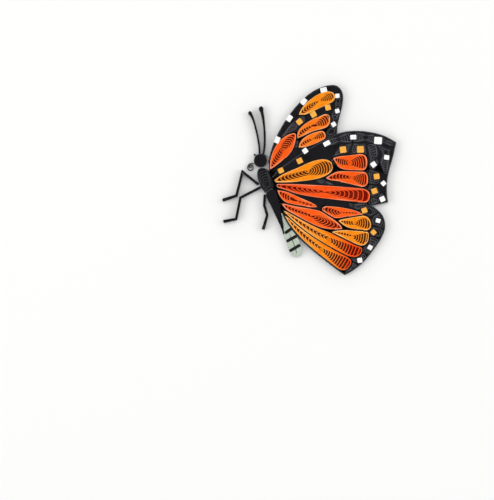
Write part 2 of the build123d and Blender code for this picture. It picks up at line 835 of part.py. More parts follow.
# Thorax, abdomen and tail, each a coil pinched to shape
for name, cell in body_cells.items():
    with BuildPart() as body_coil:
        with BuildSketch():
            with BuildLine():
                add(strip(coil_track(cell, glue_gap / 2, black_turn_pitch), paper))
            make_face()
        extrude(amount=strip_height)
    save(body_coil.part, name)

# Head: a tight round coil on the thorax, whose loose end springs away
neck = (at(plan["body1"]) + at(plan["chest4"])) / 2
neck_heading = (at(plan["body1"]) - at(plan["chest4"])).normalized()
head_centre = neck + left_of(neck_heading) * (head_radius + glue_gap / 2)


def head_radius_at(turns):
    lift = loose_end_lift * max(0, 1 - turns / loose_end_turns) ** 2
    return head_radius - tight_turn_pitch * turns + lift


with BuildPart() as head:
    with BuildSketch():
        with BuildLine():
            head_turns = (head_radius - eye_radius) / tight_turn_pitch
            head_track = round_track(head_centre, head_radius_at, head_end_angle, head_turns)
            add(strip(head_track, paper))
        make_face()
    extrude(amount=strip_height)
save(head.part, "head")


def on_head(angle, clearance):
    """A place just outside the head, and the direction away from it."""
    out = Vector(math.cos(math.radians(angle)), math.sin(math.radians(angle)))
    return head_centre + out * (head_radius + clearance), out


# Palp: a small pinched fold of paper on the face
with BuildPart() as palp:
    with BuildSketch():
        with BuildLine():
            base, out = on_head(palp_angle, glue_gap)
            half = left_of(out) * (palp_width / 2)
            rim = base + out * palp_rim
            ThreePointArc(rim - half, base, rim + half)
            Polyline(rim + half, base + out * palp_length, rim - half)
        make_face()
    extrude(amount=strip_height)
save(palp.part, "palp")

# Tongue: an open spiral strip against the face
tongue_touch, tongue_out = on_head(tongue_angle, glue_gap)
tongue_centre = tongue_touch + tongue_out * tongue_radius


def tongue_radius_at(turns):
    return tongue_radius + (tongue_eye - tongue_radius) * turns / tongue_turns


with BuildPart() as tongue:
    with BuildSketch():
        with BuildLine():
            tongue_track = round_track(
                tongue_centre, tongue_radius_at, tongue_end_angle, tongue_turns
            )
            add(strip(tongue_track, tongue_paper))
        make_face()
    extrude(amount=strip_height)
save(tongue.part, "tongue")

# Antennae: strips that widen to a rounded club
for name, points in antennae.items():
    root, out = on_head(antenna_angles[name], glue_gap)
    places = [root] + [at(point) for point in points]
    count = len(places)
    around = [places[0]] + places + [places[-1]]
    headings = [(after - before).normalized() for before, after in zip(around, around[2:])]
    widths = [antenna_root_width] * (count - 2) + [antenna_tip_width * 0.8, antenna_tip_width]
    left = [p + left_of(h) * (w / 2) for p, h, w in zip(places, headings, widths)]
    right = [p - left_of(h) * (w / 2) for p, h, w in zip(places, headings, widths)]
    with BuildPart() as antenna:
        with BuildSketch():
            with BuildLine():
                Spline(*left)
                ThreePointArc(left[-1], places[-1] + headings[-1] * (antenna_tip_width / 2), right[-1])
                Spline(*right)
                Line(left[0], right[0])
            make_face()
        extrude(amount=strip_height)
    save(antenna.part, name)

# Legs: folded strips with a knee, an ankle and a wider foot
chest = [at(plan[name]) for name in ("waist", "chest1", "chest2")]
front_hip = (chest[1] + chest[2]) / 2
middle_hip = (chest[0] + chest[1] * 2 + chest[2]) / 4
hips = {
    "front_leg": (front_hip, (chest[2] - chest[1]).normalized()),
    "middle_leg": (middle_hip, (chest[2] - chest[0]).normalized()),
}
for name, points in legs.items():
    joints = [at(point) for point in points]
    if name in hips:
        surface, along = hips[name]
        side = left_of(along)
        thigh = (joints[0] - surface).normalized()
        hip = surface + side * (glue_gap + abs(thigh.cross(side).Z) * leg_width / 2)
    else:
        hip = at(hind_hip)
    places = [hip] + joints
    widths = [leg_width, leg_width, leg_width, foot_width]
    around = [places[0]] + places + [places[-1]]
    left, right = [], []
    for before, here, after, width in zip(around, places, around[2:], widths):
        into = (here - before).normalized() if here != before else (after - here).normalized()
        out = (after - here).normalized() if after != here else into
        mitre = (left_of(into) + left_of(out)) * (width / 2 / (1 + into.dot(out)))
        left.append(here + mitre)
        right.append(here - mitre)
    with BuildPart() as leg:
        with BuildSketch():
            with BuildLine():
                Polyline(*left, *right[::-1], close=True)
            make_face()
        extrude(amount=strip_height)
    save(leg.part, name)

# Squares of cut paper, glued flat on the coils
for name, squares in (white_squares | orange_squares).items():
    with BuildPart() as trim:
        with BuildSketch(Plane.XY.offset(strip_height)):
            for x, y, width, height, turn in squares:
                with Locations((x * grid, y * grid)):
                    Rectangle(width, height, rotation=turn)
        extrude(amount=trim_thickness)
    save(trim.part, name)

# Bands of black paper across the tail
with BuildPart() as bands:
    with BuildSketch(Plane.XY.offset(strip_height)):
        for start, end in tail_bands:
            span = at(end) - at(start)
            turn = math.degrees(math.atan2(span.Y, span.X))
            with Locations((at(start) + at(end)) / 2):
                Rectangle(span.length, tail_band_width, rotation=turn)
    extrude(amount=trim_thickness)
save(bands.part, "tail_bands")
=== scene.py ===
import math

import bpy
import numpy as np
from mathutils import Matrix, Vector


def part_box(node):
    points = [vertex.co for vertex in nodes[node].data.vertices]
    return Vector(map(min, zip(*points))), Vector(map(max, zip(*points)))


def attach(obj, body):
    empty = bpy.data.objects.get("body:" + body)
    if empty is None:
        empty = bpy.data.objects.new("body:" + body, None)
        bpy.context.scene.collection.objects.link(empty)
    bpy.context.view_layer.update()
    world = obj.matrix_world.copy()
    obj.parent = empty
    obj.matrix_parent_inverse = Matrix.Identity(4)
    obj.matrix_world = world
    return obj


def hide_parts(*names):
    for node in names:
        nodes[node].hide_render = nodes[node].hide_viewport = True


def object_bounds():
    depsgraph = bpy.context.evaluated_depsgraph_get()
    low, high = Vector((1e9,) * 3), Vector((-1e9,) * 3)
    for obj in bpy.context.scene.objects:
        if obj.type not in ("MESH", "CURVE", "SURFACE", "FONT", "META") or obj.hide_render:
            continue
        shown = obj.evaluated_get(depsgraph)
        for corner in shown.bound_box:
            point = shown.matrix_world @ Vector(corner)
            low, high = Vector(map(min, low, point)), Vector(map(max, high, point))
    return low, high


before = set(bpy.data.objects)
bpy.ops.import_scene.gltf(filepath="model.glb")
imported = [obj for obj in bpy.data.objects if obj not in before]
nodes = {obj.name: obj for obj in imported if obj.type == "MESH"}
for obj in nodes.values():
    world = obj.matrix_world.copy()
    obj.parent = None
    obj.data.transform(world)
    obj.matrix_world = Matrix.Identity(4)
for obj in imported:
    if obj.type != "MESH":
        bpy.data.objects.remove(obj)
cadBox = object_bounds()
mm = 0.001
dice = np.random.default_rng(11)
print("frame loaded:", len(nodes), "nodes")

# camera and light

view = {
    "middle": (-21.8, -24.5),  # place under the middle of the picture, in mm
    "fieldHeight": 176.0,  # what the picture's 500 pixels of height cover, in mm
    "distance": 1000.0,  # from the lens to the ground, in mm
    "sensor": 36.0,  # in mm, along the picture's longer side
    "nearest": 0.01, "farthest": 10.0,  # what the camera sees, in metres
}
light = {
    "sky": 0.54,  # strength of the plain white sky on the object
    "softboxes": {  # place and size in mm, and power in watts
        "leftSoftbox": ((-620, -60, 760), 600, 1.7),
        "rightSoftbox": ((600, 120, 760), 600, 1.5),
        "topSoftbox": ((-60, 160, 1300), 700, 4.6),
    },
    "groundColour": "#FBFBFA",
}


def linearOf(hexColour):
    # an sRGB hex colour as linear red, green, blue and alpha
    parts = [int(hexColour[k:k + 2], 16) / 255 for k in (1, 3, 5)]
    return [c / 12.92 if c <= 0.04045 else ((c + 0.055) / 1.055) ** 2.4 for c in parts] + [1.0]


def addNode(tree, kind, links=(), **settings):
    # one node with its settings, its constant inputs and its incoming links: an input is
    # named by its number, and gets a value or another node's output
    node = tree.nodes.new(kind)
    for name, value in settings.items():
        setattr(node, name, value)
    for socket, value in dict(links).items():
        if isinstance(value, bpy.types.NodeSocket):
            tree.links.new(value, node.inputs[socket])
        else:
            node.inputs[socket].default_value = value
    return node


cameraData = bpy.data.cameras.new("cameraAbove")
cameraData.sensor_width = view["sensor"]
cameraData.lens = view["sensor"] * view["distance"] / view["fieldHeight"]
cameraData.clip_start, cameraData.clip_end = view["nearest"], view["farthest"]
camera = bpy.data.objects.new("cameraAbove", cameraData)
camera.location = (view["middle"][0] * mm, view["middle"][1] * mm, view["distance"] * mm)
bpy.context.scene.collection.objects.link(camera)
bpy.context.scene.camera = camera


def softLamp(name, place, size, power):
    # a round softbox turned towards the butterfly's middle
    lamp = bpy.data.lights.new(name, "AREA")
    lamp.shape, lamp.size, lamp.energy = "DISK", size * mm, power
    holder = bpy.data.objects.new(name, lamp)
    holder.location = [c * mm for c in place]
    aim = -holder.location
    holder.rotation_euler = aim.to_track_quat("-Z", "Y").to_euler()
    bpy.context.scene.collection.objects.link(holder)


for name, (place, size, power) in light["softboxes"].items():
    softLamp(name, place, size, power)

# the object gets the sky's light, and the camera sees plain white behind the ground
world = bpy.data.worlds.new("paleStudio")
bpy.context.scene.world = world
world.use_nodes = True
world.node_tree.nodes.clear()
sky = addNode(world.node_tree, "ShaderNodeBackground", {0: (1, 1, 1, 1), 1: light["sky"]})
white = addNode(world.node_tree, "ShaderNodeBackground", {0: (1, 1, 1, 1), 1: 1.0})
rays = addNode(world.node_tree, "ShaderNodeLightPath")
which = addNode(world.node_tree, "ShaderNodeMixShader", {
    0: rays.outputs["Is Camera Ray"], 1: sky.outputs[0], 2: white.outputs[0]})
addNode(world.node_tree, "ShaderNodeOutputWorld", {0: which.outputs[0]})
bpy.context.scene.view_settings.view_transform = "Standard"

print("camera, lamps and sky placed")

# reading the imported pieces


def topOf(nodeName):
    # A node's outlines seen from above, in mm, one a solid, with the solid on their left.
    # They are the sides of the top face's triangles that no other triangle shares.
    mesh = nodes[nodeName].data
    places = np.empty(len(mesh.vertices) * 3, np.float32)
    mesh.vertices.foreach_get("co", places)
    places = places.reshape(-1, 3).astype(float) / mm
    mesh.calc_loop_triangles()
    corners = np.empty(len(mesh.loop_triangles) * 3, np.int32)
    mesh.loop_triangles.foreach_get("vertices", corners)
    corners = corners.reshape(-1, 3)
    corners = corners[(places[corners, 2] > places[:, 2].max() - 0.001).all(axis=1)]  # the top face
    spots, same = np.unique(np.round(places[:, :2], 4), axis=0, return_inverse=True)
    same = same.reshape(-1)[corners]
    sides = np.concatenate([same[:, [0, 1]], same[:, [1, 2]], same[:, [2, 0]]])
    seen = set(map(tuple, sides.tolist()))
    following = {a: b for a, b in seen if (b, a) not in seen}
    outlines = []
    while following:
        first, after = following.popitem()
        chain = [first]
        while after != first:
            chain.append(after)
            after = following.pop(after)
        outlines.append(spots[chain])
    return sorted(outlines, key=lambda outline: tuple(outline.min(axis=0)))


cadStrip = {
    "paper": 0.16,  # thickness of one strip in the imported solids, in mm
    "pitch": 0.36,  # from one turn of a black coil to the next there
    "border": 0.34,  # thickness of the strips round the wings
    "tongue": 0.3,  # thickness of the tongue
    "height": 3.0,  # of every strip
}
cellSearch = {
    "firstStep": 1.0, "lastStep": 0.02,  # towards a cell's roomiest place, in mm
    "rounds": 14,  # after which a cell's numbers have settled
    "leastRoom": 0.05,  # in mm
    "mostShrink": 0.7,  # of a turn against the turn round it
}
wings = ("far_forewing", "near_forewing", "hind_wing")


def sidesOf(outline, thick=cadStrip["paper"]):
    # The two long sides of a strip, each in the outline's own direction: first the one that
    # goes round to the left. The strip's ends are the two edges that are as long as the strip
    # is thick and have a square corner at each end.
    ahead = np.roll(outline, -1, axis=0) - outline
    headings = np.arctan2(ahead[:, 1], ahead[:, 0])
    turns = (headings - np.roll(headings, 1) + math.pi) % (2 * math.pi) - math.pi
    fault = abs(turns - math.pi / 2) + abs(np.roll(turns, -1) - math.pi / 2)
    fault += 3 * abs(np.hypot(ahead[:, 0], ahead[:, 1]) / thick - 1)
    a, b = np.sort(np.argsort(fault)[:2])
    sides = [outline[a + 1:b + 1], np.concatenate([outline[b + 1:], outline[:a + 1]])]
    turned = [np.sum(s[:-1, 0] * s[1:, 1] - s[:-1, 1] * s[1:, 0]) for s in
              (side - side.mean(axis=0) for side in sides)]
    return sides if turned[0] > turned[1] else sides[::-1]


def closedUp(side):
    # a run of places with the first one again at its end
    return np.concatenate([side, side[:1]])


def roomAt(place, cell):
    # how far left of the nearest of a cell's edges, drawn on as lines, a place lies
    side = closedUp(cell)
    ahead = np.diff(side, axis=0)
    length = np.hypot(ahead[:, 0], ahead[:, 1])
    ahead, start = ahead[length > 1e-3] / length[length > 1e-3, None], side[:-1][length > 1e-3]
    away = place - start
    return (ahead[:, 0] * away[:, 1] - ahead[:, 1] * away[:, 0]).min()


def roomiest(cell):
    # the place inside a cell with the most room, found from its middle by steps that halve
    after = np.roll(cell, -1, axis=0)
    cross = cell[:, 0] * after[:, 1] - cell[:, 1] * after[:, 0]
    place = ((cell + after) * cross[:, None]).sum(axis=0) / (3 * cross.sum())
    step = cellSearch["firstStep"]
    while step > cellSearch["lastStep"]:
        moves = [place + step * np.array(way) for way in ((1, 0), (0, 1), (-1, 0), (0, -1))]
        best = max(moves, key=lambda spot: roomAt(spot, cell))
        if roomAt(best, cell) > roomAt(place, cell):
            place = best
        else:
            step /= 2
    return place


def withLastCorner(side):
    # A side that stops short of its start, with the corner where its ends would meet. It is
    # left as it is where the ends are near, nearly in line, or would meet too far away.
    out, back, way = side[-1] - side[-2], side[0] - side[1], side[0] - side[-1]
    cross = out[0] * back[1] - out[1] * back[0]
    if np.hypot(*way) < 0.3 or abs(cross) < 0.05 * np.hypot(*out) * np.hypot(*back):
        return side
    ahead = (way[0] * back[1] - way[1] * back[0]) / cross
    behind = (way[0] * out[1] - way[1] * out[0]) / cross
    if ahead < 0 or behind < 0 or ahead * np.hypot(*out) > 2.5 * np.hypot(*way):
        return side
    return np.concatenate([side, [side[-1] + out * ahead]])


def cellOf(outline):
    # The closed outline round a wound strip, and the cell's roomiest place. Each turn of the
    # packed strip is the cell drawn smaller round that place, in step with the way round,
    # and this is undone for the first turn until the numbers settle.
    outer = sidesOf(outline)[0]
    ahead = np.diff(outer, axis=0)
    heading = np.unwrap(np.arctan2(ahead[:, 1], ahead[:, 0]))
    once = np.flatnonzero(heading > heading[0] + 2 * math.pi - 0.05)
    cell = outer[:once[0] + 1] if len(once) else outer
    done = np.zeros(len(outer))
    for _ in range(cellSearch["rounds"]):
        whole = withLastCorner(cell)
        eye = roomiest(whole)
        room = roomAt(eye, whole)
        inward = min(cadStrip["pitch"], room - cadStrip["paper"]) / max(room, cellSearch["leastRoom"])
        shrink = min(max(inward, 0.0), cellSearch["mostShrink"])
        steps = np.hypot(*np.diff(cell, axis=0, prepend=cell[:1]).T).cumsum()
        around = np.hypot(*np.diff(closedUp(whole), axis=0).T).sum()
        done[:len(cell)] = steps / around
        rays = outer - eye
        angles = np.unwrap(np.arctan2(rays[:, 1], rays[:, 0]))
        later = np.flatnonzero(angles > angles[0] + 2 * math.pi - 0.002)
        count = min(later[0] if len(later) else len(outer), len(cell) + 3)
        done[len(cell):count] = done[len(cell) - 1]
        cell = eye + rays[:count] / (1 - done[:count] * shrink)[:, None]
    return withLastCorner(cell), eye


# making wound paper


def softDistance(places, cell):
    # A smooth distance from each place to the outline: the outline pulls with the inverse
    # fifth power of the distance, and a straight side alone gives its true distance.
    start, end = cell, np.roll(cell, -1, axis=0)
    along = end - start
    length = np.maximum(np.hypot(along[:, 0], along[:, 1]), 1e-9)
    along = along / length[:, None]
    x = places[:, None, :] - start[None]
    before = x[..., 0] * along[:, 0] + x[..., 1] * along[:, 1]
    off = np.maximum(np.abs(x[..., 0] * along[:, 1] - x[..., 1] * along[:, 0]), 1e-3)

    def pullOf(reach):
        return reach * (3 * off ** 2 + 2 * reach ** 2) / (4 * off ** 4 * np.hypot(off, reach) ** 3)

    return (pullOf(before) + pullOf(length - before)).sum(axis=1) ** -0.25


def ringOf(cell, stations):
    # stations round a cell, even in the length gone plus half of the bends in radians, so
    # that they are closer together where it bends
    ahead = np.roll(cell, -1, axis=0) - cell
    headings = np.arctan2(ahead[:, 1], ahead[:, 0])
    bent = np.abs((headings - np.roll(headings, 1) + math.pi) % (2 * math.pi) - math.pi)
    weight = np.hypot(ahead[:, 0], ahead[:, 1]) + (bent + np.roll(bent, -1)) / 2
    marks = np.concatenate([[0], np.cumsum(weight)])
    at = np.linspace(0, marks[-1], stations, endpoint=False)
    return np.stack([np.interp(at, marks, closedUp(cell)[:, k]) for k in (0, 1)], axis=1)


windingField = {
    "samples": 72,  # on the way from the outline to the eye
    "crowding": 1.15,  # above 1 the samples stand closer together near the eye
    "joining": 6,  # the higher, the more sharply the two counts meet
    "start": 0.1,  # turns in, where the strip begins
    "firstArc": 1.15,  # turns that follow the whole outline before the arcs begin
    # how much room an end has at this share of the way to it, against the room at the eye,
    # and how that is made a bend from leastBend, pinched, to 1, blunt
    "bluntAt": 0.75, "bluntWidth": 0.3, "bluntFrom": 0.8, "leastBend": 0.25,
    "mixing": 2,  # how soon the bend of one end gives way to the bend of the other
    "narrow": 0.15,  # share of a cell's reach that its room has at least, unless it is narrow
}


def windingOf(cell, eye, look):
    # The outer side of a strip wound into a cell, as places and turns made. A turn is a level
    # line of a field that counts turns in from the outline: the smaller of two counts, softly
    # joined. One is the soft distance from the sides over the pitch. The other counts the
    # loose arcs towards the cell's two ends, by the way along the cell, and goes on counting
    # inside the small tight roll round the eye. The arcs are bent by mixing in the way out
    # from the eye, more towards a blunt end than towards a pinched one.
    own = windingField
    stations, arcs, samples = look["stations"], look["arcs"], own["samples"]
    ring = ringOf(cell, stations)
    shares = np.linspace(1, 0, samples)[None, :] ** own["crowding"]
    rays = ring - eye
    places = eye + rays[:, None, :] * shares[..., None]
    depth = softDistance(places.reshape(-1, 2), cell).reshape(stations, -1)
    depth[:, 0] = 0
    pitch = min(look["pitch"], look["packed"] * depth[0, -1] / arcs)
    turns = depth[0, -1] / pitch
    reach = np.hypot(rays[:, 0], rays[:, 1])
    tip = rays[np.argmax(reach)]
    otherTip = rays[np.argmax(-(rays @ tip))]
    toTip, toOther = rays @ tip / (tip @ tip), rays @ otherTip / (otherTip @ otherTip)
    room = [roomAt(eye + own["bluntAt"] * end, cell) / roomAt(eye, cell) for end in (tip, otherTip)]
    blunt = [np.clip(share / own["bluntWidth"] - own["bluntFrom"], own["leastBend"], 1) for share in room]
    mixed = np.clip(0.5 + own["mixing"] * (toTip - toOther), 0, 1)
    bend = look["bend"] * (blunt[0] * mixed + blunt[1] * (1 - mixed))[:, None]
    along = np.maximum(np.maximum(toTip, toOther), 0)[:, None] * shares
    along = along * (1 - bend) + bend * shares
    roll = np.maximum(1 - reach[:, None] * shares / ((turns - arcs) * pitch), 0)
    byEnd = own["firstArc"] + arcs * np.maximum(1 - along, 0) ** look["spread"] + (turns - arcs) * roll
    bySide = np.maximum(depth / pitch, 1e-6)
    field = (bySide ** -own["joining"] + byEnd ** -own["joining"]) ** (-1 / own["joining"])
    field[:, 0] = 0
    field = np.maximum.accumulate(field, axis=1) + np.arange(samples) * 1e-7
    count = int(turns * stations)
    made = np.arange(count) / stations + own["start"]
    ray = np.arange(count) % stations
    deeper = (field[ray] < made[:, None]).sum(axis=1)
    beyond = np.flatnonzero(deeper >= samples)
    last = beyond[0] if len(beyond) else count
    made, ray, deeper = made[:last], ray[:last], deeper[:last]
    low, high = field[ray, deeper - 1], field[ray, deeper]
    mix = (made - low) / (high - low)
    share = shares[0][deeper - 1] * (1 - mix) + shares[0][deeper] * mix
    path = eye + rays[ray] * share[:, None]
    small = np.flatnonzero(np.hypot(*(path - eye).T) < look["hollow"])
    last = small[0] if len(small) else len(path)
    return path[:last], made[:last]


def flatWindingOf(cell, look):
    # The same for a cell that is long and narrow: each station goes straight to the line along
    # the cell's middle, and the turns share that way evenly.
    stations = look["stations"]
    ring = ringOf(cell, stations)
    apart = np.hypot(*(ring[:, None] - ring[None]).transpose(2, 0, 1))
    a, b = np.sort(np.unravel_index(np.argmax(apart), apart.shape))
    ring, tip = np.roll(ring, -a, axis=0), b - a
    gone = np.concatenate([[0], np.hypot(*np.diff(closedUp(ring), axis=0).T).cumsum()])
    share = np.where(np.arange(stations) <= tip, gone[:-1] / gone[tip],
                     (gone[-1] - gone[:-1]) / (gone[-1] - gone[tip]))
    there, back = closedUp(ring)[:tip + 1], closedUp(ring)[tip:][::-1]
    thereShare = gone[:tip + 1] / gone[tip]
    backShare = ((gone[-1] - gone[tip:]) / (gone[-1] - gone[tip]))[::-1]
    spine = np.stack([(np.interp(share, thereShare, there[:, k])
                       + np.interp(share, backShare, back[:, k])) / 2 for k in (0, 1)], axis=1)
    width = np.hypot(*(spine - ring).T).max()
    turns = max(round(width / look["pitch"]), 2)
    count = int(turns * stations)
    made = np.arange(count) / stations
    ray = np.arange(count) % stations
    path = ring[ray] + (spine - ring)[ray] * (made / turns * look["fill"])[:, None]
    return path, made


def isNarrow(cell, eye):
    # whether a cell is long and narrow, or bends so much that its sides hide from its eye
    ahead, rays = np.roll(cell, -1, axis=0) - cell, cell - eye
    cross = rays[:, 0] * ahead[:, 1] - rays[:, 1] * ahead[:, 0]
    reach = np.hypot(rays[:, 0], rays[:, 1]).max()
    return cross.min() < -1e-3 or roomAt(eye, cell) < windingField["narrow"] * reach


def leftOf(path):
    # the way to the left at each station, longer at a corner, up to a limit, so that a side
    # stays as far off there
    way = np.diff(path, axis=0)
    way = way / np.maximum(np.hypot(way[:, 0], way[:, 1]), 1e-9)[:, None]
    before, after = np.concatenate([way[:1], way]), np.concatenate([way, way[-1:]])
    both = before + after
    both = both / np.maximum((both ** 2).sum(axis=1) / 2, 0.9)[:, None]
    return np.stack([-both[:, 1], both[:, 0]], axis=1)


def bendOf(path):
    # the radius of each bend to the left, in mm, and 1000 where the path doesn't bend so
    way = np.diff(path, axis=0)
    heading = np.unwrap(np.arctan2(way[:, 1], way[:, 0]))
    bend = np.diff(heading, prepend=heading[0], append=heading[-1])
    step = np.hypot(*np.gradient(path, axis=0).T)
    return np.where(bend > 1e-4, step / np.maximum(bend, 1e-4), 1e3)


def meshOf(name, corners, faces, marks):
    # a mesh from corners in mm; marks are named numbers, one a corner
    mesh = bpy.data.meshes.new(name)
    mesh.from_pydata((corners * mm).tolist(), [], faces)
    for label, values in marks.items():
        layer = mesh.attributes.new(label, "FLOAT", "POINT")
        layer.data.foreach_set("value", np.asarray(values, np.float32))
    mesh.update()
    piece = bpy.data.objects.new(name, mesh)
    bpy.context.scene.collection.objects.link(piece)
    return piece


ribbon = {
    "lines": 9,  # along a strip
    "edge": 0.035, "edgeShare": 0.3,  # how far cut edges are worn: in mm, and share of the paper
    "lean": 0.3,  # share of the space to the next turn that a strip leans over
    "glue": 0.7, "glueStep": 0.12,  # height of the web of painted shade, and half of its thickness, in mm
    "worn": 0.05, "waver": 0.045,  # how far below full height a top edge runs, and wavers, in mm
    "foldShare": 0.8,  # most thickness at a fold, as a share of its radius
}


def ribbonGrid(path, thick, top, foot):
    # A paper strip standing on a path: nine lines along it, up the outer side, over the top
    # edge, and down the inner side, which lies "thick" to the left and leans a little further
    # in below. Low down a thin web reaches from there to "foot", at the next turn: it is a dark
    # sheet of painted shade, in the paper's low dark tone, where the gap would show the ground.
    left = leftOf(path)
    zero, thick = np.zeros(len(path)), np.broadcast_to(thick, len(path))
    foot = np.maximum(foot, thick)
    shoulder = top - ribbon["edge"]
    worn = np.minimum(ribbon["edge"], thick * ribbon["edgeShare"])
    lean = thick + ribbon["lean"] * (foot - thick)
    glue = [zero + ribbon["glue"] - ribbon["glueStep"] * k for k in range(3)]
    offs = [zero, zero, worn, thick - worn, thick, lean, foot, lean, thick]
    heights = [zero, shoulder, top, top, shoulder, *glue, zero]
    lines = [np.column_stack([path + left * off[:, None], height]) for off, height in zip(offs, heights)]
    return np.stack(lines, axis=1)


def ribbonFaces(count, first):
    # quads between the lines of a ribbon, and one face at each end
    lines = ribbon["lines"]
    k, j = np.arange(count - 1)[:, None], np.arange(lines)[None, :]
    here = first + k * lines + j
    across = first + k * lines + (j + 1) % lines
    quads = np.stack([here, here + lines, across + lines, across], axis=-1).reshape(-1, 4)
    tail = first + (count - 1) * lines
    return quads.tolist() + [list(range(first, first + lines)), list(range(tail + lines - 1, tail - 1, -1))]


def ribbonPiece(name, ribbons):
    # one piece of several ribbons: each is a grid, and how much painted highlight each station's top edge
    # gets, 0 to 1
    corners, faces, outermost, first = [], [], [], 0
    for grid, outer in ribbons:
        corners.append(grid.reshape(-1, 3))
        outermost.append(np.repeat(np.broadcast_to(outer, len(grid)), ribbon["lines"]))
        faces += ribbonFaces(len(grid), first)
        first += len(grid) * ribbon["lines"]
    return meshOf(name, np.concatenate(corners), faces, {"outermost": np.concatenate(outermost)})


def wander(count, reach, knots):
    # a seeded wandering between -reach and reach, straight from knot to knot
    at = np.linspace(0, knots - 1, count)
    return np.interp(at, np.arange(knots), dice.uniform(-reach, reach, knots))


coilMake = {
    "pressed": 0.975,  # share of the way to the next turn that a pressed turn fills
    "leastFold": 0.02, "leastPaper": 0.015,  # thickness, in mm
    "freeOver": 0.3,  # further space over which a free arc gets its painted highlight, in mm
    "paleTurns": 1.12, "paleOver": 0.06,  # where the first turn's painted highlight ends, in turns
    "webShare": 1.15, "webMore": 0.06,  # what the web of painted shade reaches: share of the way, and mm
    "waveStations": 20,  # of the top edge's waver
}


def coilRibbon(cell, eye, look):
    # The strip of one coil, and how much painted highlight its top edge gets. Free turns have
    # the paper's thickness. Turns that are near each other are pressed together, and those of the
    # roll round the eye keep a thin dark line between them. Paper is thinner where it folds
    # tightly. A low web, dark with the paper's painted shade, reaches the next turn, or the eye
    # from the last turn.
    own = coilMake
    flat = look["flat"] if "flat" in look else isNarrow(cell, eye)
    path, made = flatWindingOf(cell, look) if flat else windingOf(cell, eye, look)
    stations = look["stations"]
    gap = np.full(len(path), look["paper"]) if flat else np.hypot(*(path - eye).T)
    if len(path) > stations:
        gap[:-stations] = np.hypot(*(path[stations:] - path[:-stations]).T)
    rolled = 0 if flat else np.clip(made - look["arcs"] - 0.5, 0, 1)
    shut = np.clip((look["open"] - gap) / (look["open"] - look["touching"]), 0, 1)
    thick = look["paper"] + np.maximum(gap * own["pressed"] - look["paper"], 0) * shut
    thick = np.minimum(thick, gap * (own["pressed"] - look["rollLine"] * rolled))
    most = np.maximum(bendOf(path) * ribbon["foldShare"], own["leastFold"])
    thick = np.maximum(np.minimum(thick, most), own["leastPaper"])
    waves = max(len(path) // own["waveStations"], 4)
    top = cadStrip["height"] - ribbon["worn"] - wander(len(path), ribbon["waver"], waves)
    free = np.clip((gap - look["touching"]) / own["freeOver"], 0, 1) * np.clip(made - 1, 0, 1) * (1 - rolled)
    first = np.clip((own["paleTurns"] - made) / own["paleOver"], 0, 1)
    foot = np.minimum(gap * own["webShare"] + own["webMore"], look["glueReach"])
    # the second value is the painted highlight: on the first turn, and on arcs that stand free
    return ribbonGrid(path, thick, top, foot), np.maximum(look["firstLit"] * first, look["freeLit"] * free)


# paper

paperTones = {
    # the cut edges on top; the sides further down, darker as painted shade between the turns; and the
    # painted highlight on the top edges of outermost and free turns
    "light_orange_paper": ("#FF9210", "#6E2600", "#FFC272"),
    "orange_paper": ("#FF7D18", "#781C00", "#FFAE78"),
    "red_orange_paper": ("#FF6012", "#8A1400", "#FF9C70"),
    "red_paper": ("#FB540C", "#A00E00", "#FF926A"),
    "black_paper": ("#1D1D20", "#050506", "#727278"),
    "white_paper": ("#FAFAF8", "#D8D8D6", "#FFFFFF"),
    "yellow_orange_paper": ("#FDB24C", "#D08020", "#FFD080"),
    "pale_grey_paper": ("#C4CFC0", "#4E584C", "#DCE4D8"),
}
paperLook = {
    "blush": "#FF8460",  # what the stripes of the hind wing are dyed with towards the margin
    "deepBelow": 1.0, "litAbove": 2.92,  # heights over which the sides' painted shade gives way to the cut edges' tone, in mm
    "cloudSize": 0.9, "cloudDetail": 3.0, "cloudTone": (0.9, 1.08),  # in mm, and darkest to palest
    "fibreSize": 0.12, "fibreDetail": 4.0,  # in mm: a few fibres wide, the finest that shows
    "fibreStrength": 0.35, "fibreHeight": 0.02,  # height in mm
    "roughness": 0.7, "gloss": 0.08,
}


